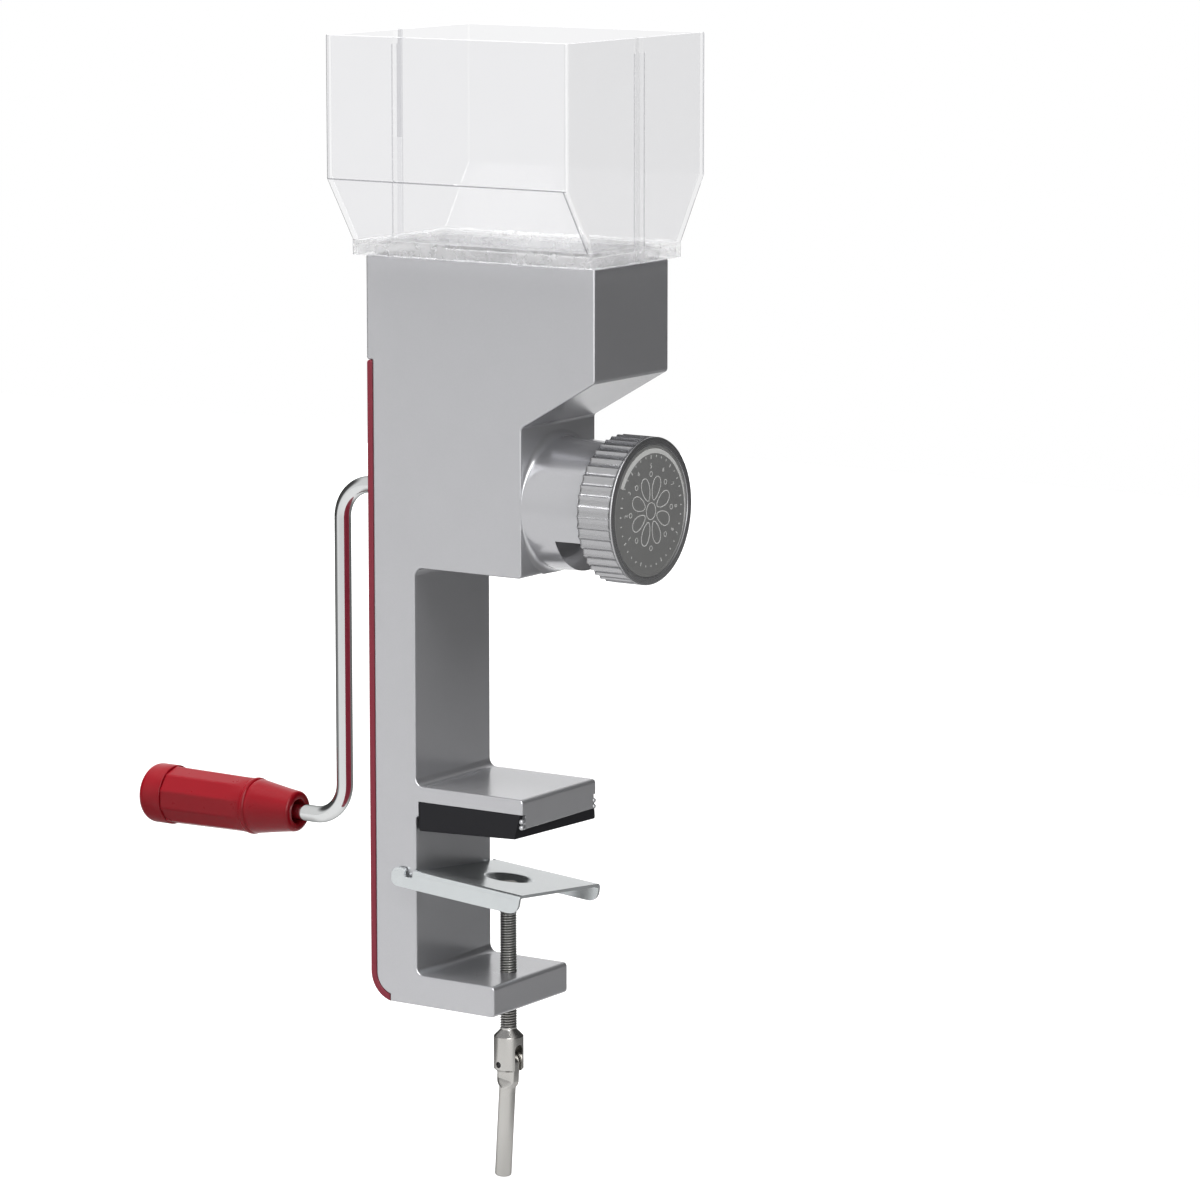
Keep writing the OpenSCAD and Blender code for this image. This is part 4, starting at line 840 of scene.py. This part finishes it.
crank = {
    "rodR": 4.0, "bend": 17.0, "x": -37.0, "axisZ": driveZ, "gripZ": 78.0, "gripX": -64.5, "rodEnd": 71.0,
    "clip": 66.1, "clipR": 3.2, "clipW": 1.2, "socket": 9.9,
}


def bendPath(cx, cz, start, end, steps=28):
    a = np.radians(np.linspace(start, end, steps + 1))
    return np.stack([cx + crank["bend"] * np.cos(a), cz + crank["bend"] * np.sin(a)], 1)


def buildRod():
    c = crank
    top, low, out = c["axisZ"], c["gripZ"], c["x"]
    clip = c["gripX"] - c["clip"]
    end, groove = c["gripX"] - c["rodEnd"], c["clipW"]
    path = np.concatenate([
        [[c["socket"], top], [c["socket"] - 0.5, top]], bendPath(out + c["bend"], top - c["bend"], 90, 180),
        bendPath(out - c["bend"], low + c["bend"], 0, -90),
        [[clip, low], [clip - 0.01, low], [clip - groove, low], [clip - groove - 0.01, low],
         [end + 0.6, low], [end, low]]])
    radius = np.full(len(path), c["rodR"])
    radius[0] -= 0.5
    radius[-5:-3] = c["clipR"]  # the groove of the grip's circlip
    radius[-1] -= 0.6
    piece = newPiece("crankRod", swept(path, radius, 48))
    dress(piece, "crank", "chrome", "crank_rod", angle=40, weighted=False)


buildRod()

grip = {
    "nearR": 10.0, "r": 13.6, "flare": 0.7, "collarR": 13.9, "capR": 14.6, "taper": 24.5, "length": 75.0,
    "cap": 15.5, "capEdge": 4.5, "flats": 10, "bore": 4.1, "recessR": 6.0, "recess": 8.0, "well": 9.0,
    "wellR": 8.0, "steps": 160,
}


def buildGrip():
    # lengths run outwards from the near end; over the flats the radius is
    # r * cos(pi / n) / cos(angle to the nearest flat), eased at its corners
    g = grip
    n = g["steps"]
    origin, along = [crank["gripX"], 0, crank["gripZ"]], (-1, 0, 0)
    a = (np.arange(n) / n * g["flats"] + 0.5) % 1.0 - 0.5
    sector = fullTurn / g["flats"]
    poly = np.minimum(math.cos(sector / 2) / np.cos((np.abs(a) - 0.5) * sector), 0.992)
    end, well, recessR = g["length"], g["length"] - g["well"], g["recessR"]
    inside = profile([end, g["wellR"]], [well, g["wellR"]], [well, g["bore"]], [g["recess"], g["bore"]],
                     [g["recess"], recessR], [0.6, recessR], [0, recessR + 0.6])
    nose = arcProfile((2.2, g["nearR"] - 2.2), 2.2, 180, 90, 8)
    # the taper swells gently and ends at a low round bead
    t = np.linspace(0, 1, 12)[1:]
    swell = np.stack([2.2 + (g["taper"] - 3.0) * t, g["nearR"] + (g["r"] - 0.35 - g["nearR"]) * t ** 1.1], 1)
    bead = arcProfile((g["taper"] + 1.4, g["collarR"] - 1.8), 1.8, 150, 40, 8)
    outside = profile(nose, swell, bead)
    flatsFrom = g["taper"] + 3.4
    lengths = np.append(np.linspace(flatsFrom, end - 1.0, 9), [end - 0.3, end - 0.05])
    ease = np.clip((lengths - flatsFrom) / 2.0, 0, 1)[:, None]
    outer = g["r"] + g["flare"] * (lengths[:, None] - g["taper"]) / (end - g["taper"])
    flats = outer * ((1 - ease) * 0.985 + ease * poly[None])
    flats[-1] -= 0.3
    radius = np.concatenate([np.repeat(inside[:, 1:], n, 1), np.repeat(outside[:, 1:], n, 1), flats])
    length = np.concatenate([inside[:, 0], outside[:, 0], lengths])
    body = newPiece("crankGrip", turned(length, radius, origin, along, n, closed=True))
    dress(body, "grip", "red_grip", "crank_grip", angle=50, weighted=False)
    start, end, edge = g["length"], g["length"] + g["cap"], g["capEdge"]
    r, plug = g["capR"], g["wellR"] - 0.05
    dome = profile([start - 3.0, 0], [start - 3.0, plug], [start + 0.02, plug], [start + 0.02, r - 0.45],
                   [start + 0.2, r - 0.12], [start + 0.5, r], [start + 6.0, r],
                   arcProfile((end - edge - 1.4, r - edge), edge, 90, 24, 10))
    crown = np.linspace(1, 0, 9)[1:]
    rim = dome[-1]
    top = np.stack([rim[0] + (end - rim[0]) * (1 - crown ** 2), rim[1] * crown], 1)
    cap = latheWork("gripCap", profile(dome, top), 96, origin, along)
    dress(cap, "grip", "red_grip", "grip_cap", angle=50, weighted=False)


buildGrip()
print("stage: crank and grip made")

plate = {
    "pivotZ": 55.55, "tilt": 7.2, "dir": 140.0, "sheet": 1.5, "width": 69.0, "rear": -29.6, "front": 29.3,
    "earRear": -43.6, "flange": 9.2, "dishR": 7.5, "dishTopR": 11.4, "dish": 4.0, "holeR": 3.9,
    "bendR": 2.4, "softEdge": 0.35,
}


def buildPlate():
    p = plate
    t = p["sheet"]
    top = p["dish"] + t / 2
    low = top - p["flange"]
    half = p["width"] / 2
    r = p["bendR"]
    # channel section, an outline in y and z, carried along x and then cut to the side outline
    within, foot = half - t, low - 2
    section = rounded([[-half, foot, 0], [-within, foot, 0], [-within, top - t, r - t],
                       [within, top - t, r - t], [within, foot, 0], [half, foot, 0], [half, top, r],
                       [-half, top, r]], 6)
    points, faces = pillow(section, p["earRear"] - 2, p["front"] + 2)
    sheet = newPiece("pressurePlate", (points[..., [1, 0, 2]], faces))
    notch = p["rear"] - 2.0
    rear, front = p["earRear"], p["front"]
    side = rounded([[rear, low, 3.9], [front, low, 5.0], [front, top + 1, 0], [notch, top + 1, 0],
                    [notch, top - 4, 1], [notch - 5, top - 4, 1], [notch - 5, top, 1.5],
                    [rear, top, 3.9]], 6)
    combine(sheet, [newPiece("side", pillow(side, -half - 2, half + 2))], "INTERSECT")
    gap = newPiece("gap", block(rear - 3, p["rear"], 0.6 - within, within - 0.6, low - 3, top + 3))
    combine(sheet, [gap])
    h, rLow, rTop, hole = t / 2, p["dishR"], p["dishTopR"], p["holeR"]
    cup = profile([-h, 0], [-h, rLow + t], [top - h, rTop + t], [top - h, 0])
    scoop = profile([-h - 1, 0], [-h - 1, hole], [h, hole], [h, rLow - 0.6], [h + 0.5, rLow],
                    [top - 0.7, rTop - 0.6], [top - 0.2, rTop + 0.1], [top + 0.02, rTop + 0.9],
                    [top + 2, rTop + 0.9], [top + 2, 0])
    for label, edge, operation in (("cup", cup, "UNION"), ("scoop", scoop, "DIFFERENCE")):
        combine(sheet, [latheWork(label, edge, 96, (0, 0, 0), (0, 0, 1))], operation)
    # tilt about the pivot, then move onto the clamp's axis
    local = toCasting(readRows(sheet.data.vertices, "co"))
    d, a = math.radians(p["dir"]), math.radians(p["tilt"])
    axis = np.array([math.cos(d), math.sin(d), 0])
    spun = (local * math.cos(a) + np.cross(axis, local) * math.sin(a)
            + np.outer(local @ axis, axis) * (1 - math.cos(a)))
    sheet.data.vertices.foreach_set("co", toRow(spun + [clampX, 0, p["pivotZ"]]).ravel())
    soft = sheet.modifiers.new("softEdges", "BEVEL")
    soft.width, soft.segments = p["softEdge"] * mm, 2
    soft.limit_method, soft.angle_limit = "ANGLE", math.radians(40)
    dress(sheet, "plate", "zinc_plated", "pressure_plate", angle=40)


buildPlate()

spindle = {
    "r": 4.0, "pitch": 1.25, "depth": 0.55, "low": -13.0, "shoulder": 52.77, "rivet": 57.03, "neckR": 3.0,
    "forkR": 7.1, "forkTop": -16.0, "forkEnd": -33.0, "pinZ": -29.6, "pinHoleR": 1.55, "slot": 5.0,
    "slotL": 13.0, "turn": -10.0, "steps": 48,
}


def swing(x, y, z):
    # turns points given from the clamp's axis to the fork's side, and moves them onto the axis
    c, n = math.cos(math.radians(spindle["turn"])), math.sin(math.radians(spindle["turn"]))
    return np.stack([clampX + x * c - y * n, x * n + y * c, z], -1)


def pinHole(reach):
    r = spindle["pinHoleR"]
    centre = [0, 0, spindle["pinZ"]]
    points, faces = turned([-reach, -reach, reach, reach], [0, r, r, 0], centre, (0, 1, 0), 32)
    return newPiece("pinHole", (swing(*np.moveaxis(points, -1, 0)), faces))


def buildSpindle():
    # the thread's radius is r - depth * ridge(z / pitch - angle), a rounded triangle wave
    s = spindle
    steps, low, end, r = s["steps"], s["low"], s["forkEnd"], s["r"]
    shoulder, rivet = s["shoulder"], s["rivet"]
    threadZ = np.arange(low, shoulder - 0.3, s["pitch"] / 8)
    b = np.arange(steps) / steps
    wave = np.abs(((threadZ[:, None] / s["pitch"] - b[None]) % 1.0) * 2 - 1)
    wave = wave * wave * (3 - 2 * wave)
    runout = np.clip((threadZ - low) / 1.5, 0, 1) * np.clip((shoulder - threadZ) / 1.5, 0, 1)
    thread = r - s["depth"] * wave * runout[:, None]
    below = profile([end, 0], [end, s["forkR"] - 1.0], [end + 1.0, s["forkR"]],
                    arcProfile((s["forkTop"] - 0.5, s["forkR"] - 0.5), 0.5, 90, 45, 2), [low - 0.3, r + 0.1])
    above = profile([shoulder, r - 0.4], [shoulder, s["neckR"]], [rivet, s["neckR"]], [rivet, 5.0],
                    [rivet + 0.5, 4.9], [rivet + 1.2, 4.2], [rivet + 1.5, 3.0], [rivet + 1.6, 0])
    length = np.concatenate([below[:, 0], threadZ, above[:, 0]])
    radius = np.concatenate([np.repeat(below[:, 1:], steps, 1), thread, np.repeat(above[:, 1:], steps, 1)])
    piece = newPiece("clampSpindle", turned(length, radius, [clampX, 0, 0], (0, 0, 1), steps))
    w = s["slot"] / 2
    roof = end + s["slotL"]
    a = np.radians(np.linspace(0, 180, 17))
    outline = np.concatenate([[[-w, end - 3], [w, end - 3]],
                              np.stack([w * np.cos(a), roof - w + w * np.sin(a)], 1)])
    points, faces = pillow(outline, -14, 14)
    y, x, z = np.moveaxis(points, -1, 0)
    combine(piece, [newPiece("slot", (swing(x, y, z), faces)), pinHole(12)])
    dress(piece, "clamp_screw", "clamp_steel", "clamp_spindle", angle=40, weighted=False)
    piece.data.materials.append(materials["thread_root"])  # painted shade in the thread's roots
    x, y, z = toCasting(readRows(piece.data.polygons, "center")).T
    root = (np.hypot(x - clampX, y) < r - 0.55 * s["depth"]) & (z > low) & (z < shoulder - 0.3)
    piece.data.polygons.foreach_set("material_index", root.astype(np.int32))


buildSpindle()

lever = {
    "r": 3.95, "length": 56.0, "lean": 4.0, "tongueW": 11.0, "tongueT": 4.6, "tongueEnd": 7.9, "blend": 4.2,
    "square": 9.0, "steps": 64,
}


def buildLever():
    # rows run down from the eye; each is |x / w| ** n + |y / t| ** n = 1, where n falls from
    # a near rectangle over the tongue to 2, a circle, along the bar
    v = lever
    w, t, r, steps = v["tongueW"] / 2, v["tongueT"] / 2, v["r"], v["steps"]
    turn = np.radians(np.linspace(0, 90, 12))
    eye, eyeW = -w * np.cos(turn), w * np.sin(turn)
    flat, end, square = v["tongueEnd"], v["length"], v["square"]
    s = np.linspace(0, 1, 9)[1:]
    ease = s * s * (3 - 2 * s)
    bar = [flat + v["blend"] + 2, end * 0.5, end - 1.0, end - 0.55, end - 0.2, end, end]
    barR = [r, r, r, r - 0.18, r - 0.6, r - 1.1, 0]
    d = np.concatenate([eye, [flat * 0.5, flat], flat + v["blend"] * s, bar])
    wide = np.concatenate([eyeW, [w, w], w + (r - w) * ease, barR])
    thick = np.concatenate([np.where(eyeW > 0.01, t, 0), [t, t], t + (r - t) * ease, barR])
    power = np.concatenate([np.full(14, square), square + (2 - square) * ease, np.full(7, 2.0)])[:, None]
    b = np.arange(steps) / steps * fullTurn
    cb, sb = np.cos(b)[None], np.sin(b)[None]
    size = (np.abs(cb) ** power + np.abs(sb) ** power) ** (-1 / power)
    x, y = wide[:, None] * cb * size, thick[:, None] * sb * size
    z = -np.repeat(d[:, None], steps, 1)
    lean = math.radians(v["lean"])
    points = swing(x * math.cos(lean) + z * math.sin(lean), y,
                   spindle["pinZ"] - x * math.sin(lean) + z * math.cos(lean))
    piece = newPiece("clampLever", (points, gridFaces(len(d), steps, closeColumns=True)))
    combine(piece, [pinHole(6)])
    dress(piece, "lever", "clamp_steel", "clamp_lever", angle=40, weighted=False)


buildLever()
print("stage: clamp made")

stageLook = {
    "gap": 0.001, "size": 4.4, "floor": 0.4, "darkFloor": 0.55, "glow": 0.93, "glossGlow": 0.66,
    "sheen": 0.95, "fill": 0.18,
    # dark sides of the room: direction, the cosines where it begins and ends to fall, and its level
    "darkSides": (((0.72, 0.69, 0.0), 0.1, 0.8, 0.06), ((-1.0, 0.0, 0.0), 0.7, 0.88, 0.1)),
}


def sideLevel(tree, direction):
    # 1 on most sides, falling to a low level towards each dark side
    unit = reckon(tree, "NORMALIZE", direction, kind="VectorMath")
    level = 1.0
    for side, start, end, dim in stageLook["darkSides"]:
        fall = feed(tree, node(tree, "MapRange", interpolation_type="SMOOTHSTEP"),
                    Value=reckon(tree, "DOT_PRODUCT", unit, side, kind="VectorMath"),
                    From_Min=start, From_Max=end, To_Min=1.0, To_Max=dim)
        level = reckon(tree, "MULTIPLY", level, fall.outputs[0])
    return level


def rayKinds(tree):
    # the light path, and 1 for rays that see the room straight or through the hopper
    path = node(tree, "LightPath").outputs
    return path, reckon(tree, "MAXIMUM", path["Is Camera Ray"], path["Is Transmission Ray"])


def buildFloor():
    s = stageLook
    z = cadBox[0][2] - s["gap"]
    half = s["size"] / 2
    mesh = bpy.data.meshes.new("floor")
    mesh.from_pydata([(-half, -half, z), (half, -half, z), (half, half, z), (-half, half, z)], [],
                     [(0, 1, 2, 3)])
    floor = bpy.data.objects.new("floor", mesh)
    bpy.context.scene.collection.objects.link(floor)
    paint = bpy.data.materials.new("paleFloor")
    paint.use_nodes = True
    tree = paint.node_tree
    path, straight = rayKinds(tree)
    level = sideLevel(tree, node(tree, "TexCoord").outputs["Object"])
    plain = reckon(tree, "MULTIPLY", straight, s["glow"])
    gloss = reckon(tree, "MULTIPLY", reckon(tree, "MULTIPLY", path["Is Glossy Ray"], s["glossGlow"]), level)
    tone = reckon(tree, "MULTIPLY", blend(tree, level, s["darkFloor"], 1.0), s["floor"])
    feed(tree, tree.nodes["Principled BSDF"], Roughness=1.0, Specular_IOR_Level=0.0, Base_Color=tone,
         Emission_Color=(1, 1, 1, 1), Emission_Strength=reckon(tree, "MAXIMUM", plain, gloss))
    mesh.materials.append(paint)


def buildWorld():
    s = stageLook
    world = bpy.data.worlds.new("studio")
    world.use_nodes = True
    bpy.context.scene.world = world
    tree = world.node_tree
    path, straight = rayKinds(tree)
    level = sideLevel(tree, node(tree, "TexCoord").outputs["Generated"])
    fill, sheen = (reckon(tree, "MULTIPLY", level, s[k]) for k in ("fill", "sheen"))
    lit = blend(tree, path["Is Glossy Ray"], fill, sheen)  # fill for diffuse rays, sheen for glossy ones
    feed(tree, tree.nodes["Background"], Color=(1, 1, 1, 1), Strength=blend(tree, straight, lit, 1.0))


lamps = (
    dict(name="keyLeft", place=(-1.7, -2.1, 0.9), size=(2.0, 2.0), power=19),
    dict(name="topSoft", place=(-0.7, -0.2, 2.0), size=(1.4, 1.4), power=42, throughClear=True),
    dict(name="frontSoft", place=(1.5, -0.3, 1.3), size=(1.2, 1.2), power=15),
    dict(name="backSoft", place=(-1.2, 2.2, 0.5), size=(2.0, 2.0), power=40),
    dict(name="edgeGlint", place=(1.35, -1.35, 0.3), size=(1.9, 0.7), power=7, mirrored=True),
    dict(name="rootGlint", place=(0.85, -1.2, 1.3), size=(0.8, 1.8), power=22, mirrored=True,
         throughClear=True),
)


def areaLight(name, place, size, power, mirrored=False, throughClear=False):
    # soft lamps light the finish only, mirrored ones only show as glints; throughClear ones also
    # show through the hopper
    lamp = bpy.data.lights.new(name, "AREA")
    lamp.shape, lamp.size, lamp.size_y, lamp.energy = "RECTANGLE", size[0], size[1], power
    holder = bpy.data.objects.new(name, lamp)
    holder.location = place
    holder.rotation_euler = (Vector((0, 0, 0.12)) - Vector(place)).to_track_quat("-Z", "Y").to_euler()
    holder.visible_glossy, holder.visible_diffuse = mirrored, not mirrored
    holder.visible_camera, holder.visible_transmission = False, throughClear
    bpy.context.scene.collection.objects.link(holder)


buildFloor()
buildWorld()
for lamp in lamps:
    areaLight(**lamp)

cameraLook = {
    "target": (0.05195, 0.0, 0.11219), "back": (0.54330, -0.82363, 0.16269), "distance": 2.43127,
    "lens": 157.7, "sensor": 36.0, "clipEnd": 30.0,
}
cameraData = bpy.data.cameras.new("view")
cameraData.lens, cameraData.sensor_width = cameraLook["lens"], cameraLook["sensor"]
cameraData.clip_end = cameraLook["clipEnd"]
camera = bpy.data.objects.new("view", cameraData)
back = Vector(cameraLook["back"]).normalized()
camera.location = Vector(cameraLook["target"]) + back * cameraLook["distance"]
camera.rotation_euler = (-back).to_track_quat("-Z", "Y").to_euler()
bpy.context.scene.collection.objects.link(camera)
bpy.context.scene.camera = camera
bpy.context.scene.view_settings.view_transform = "Standard"

print("stage: all made")
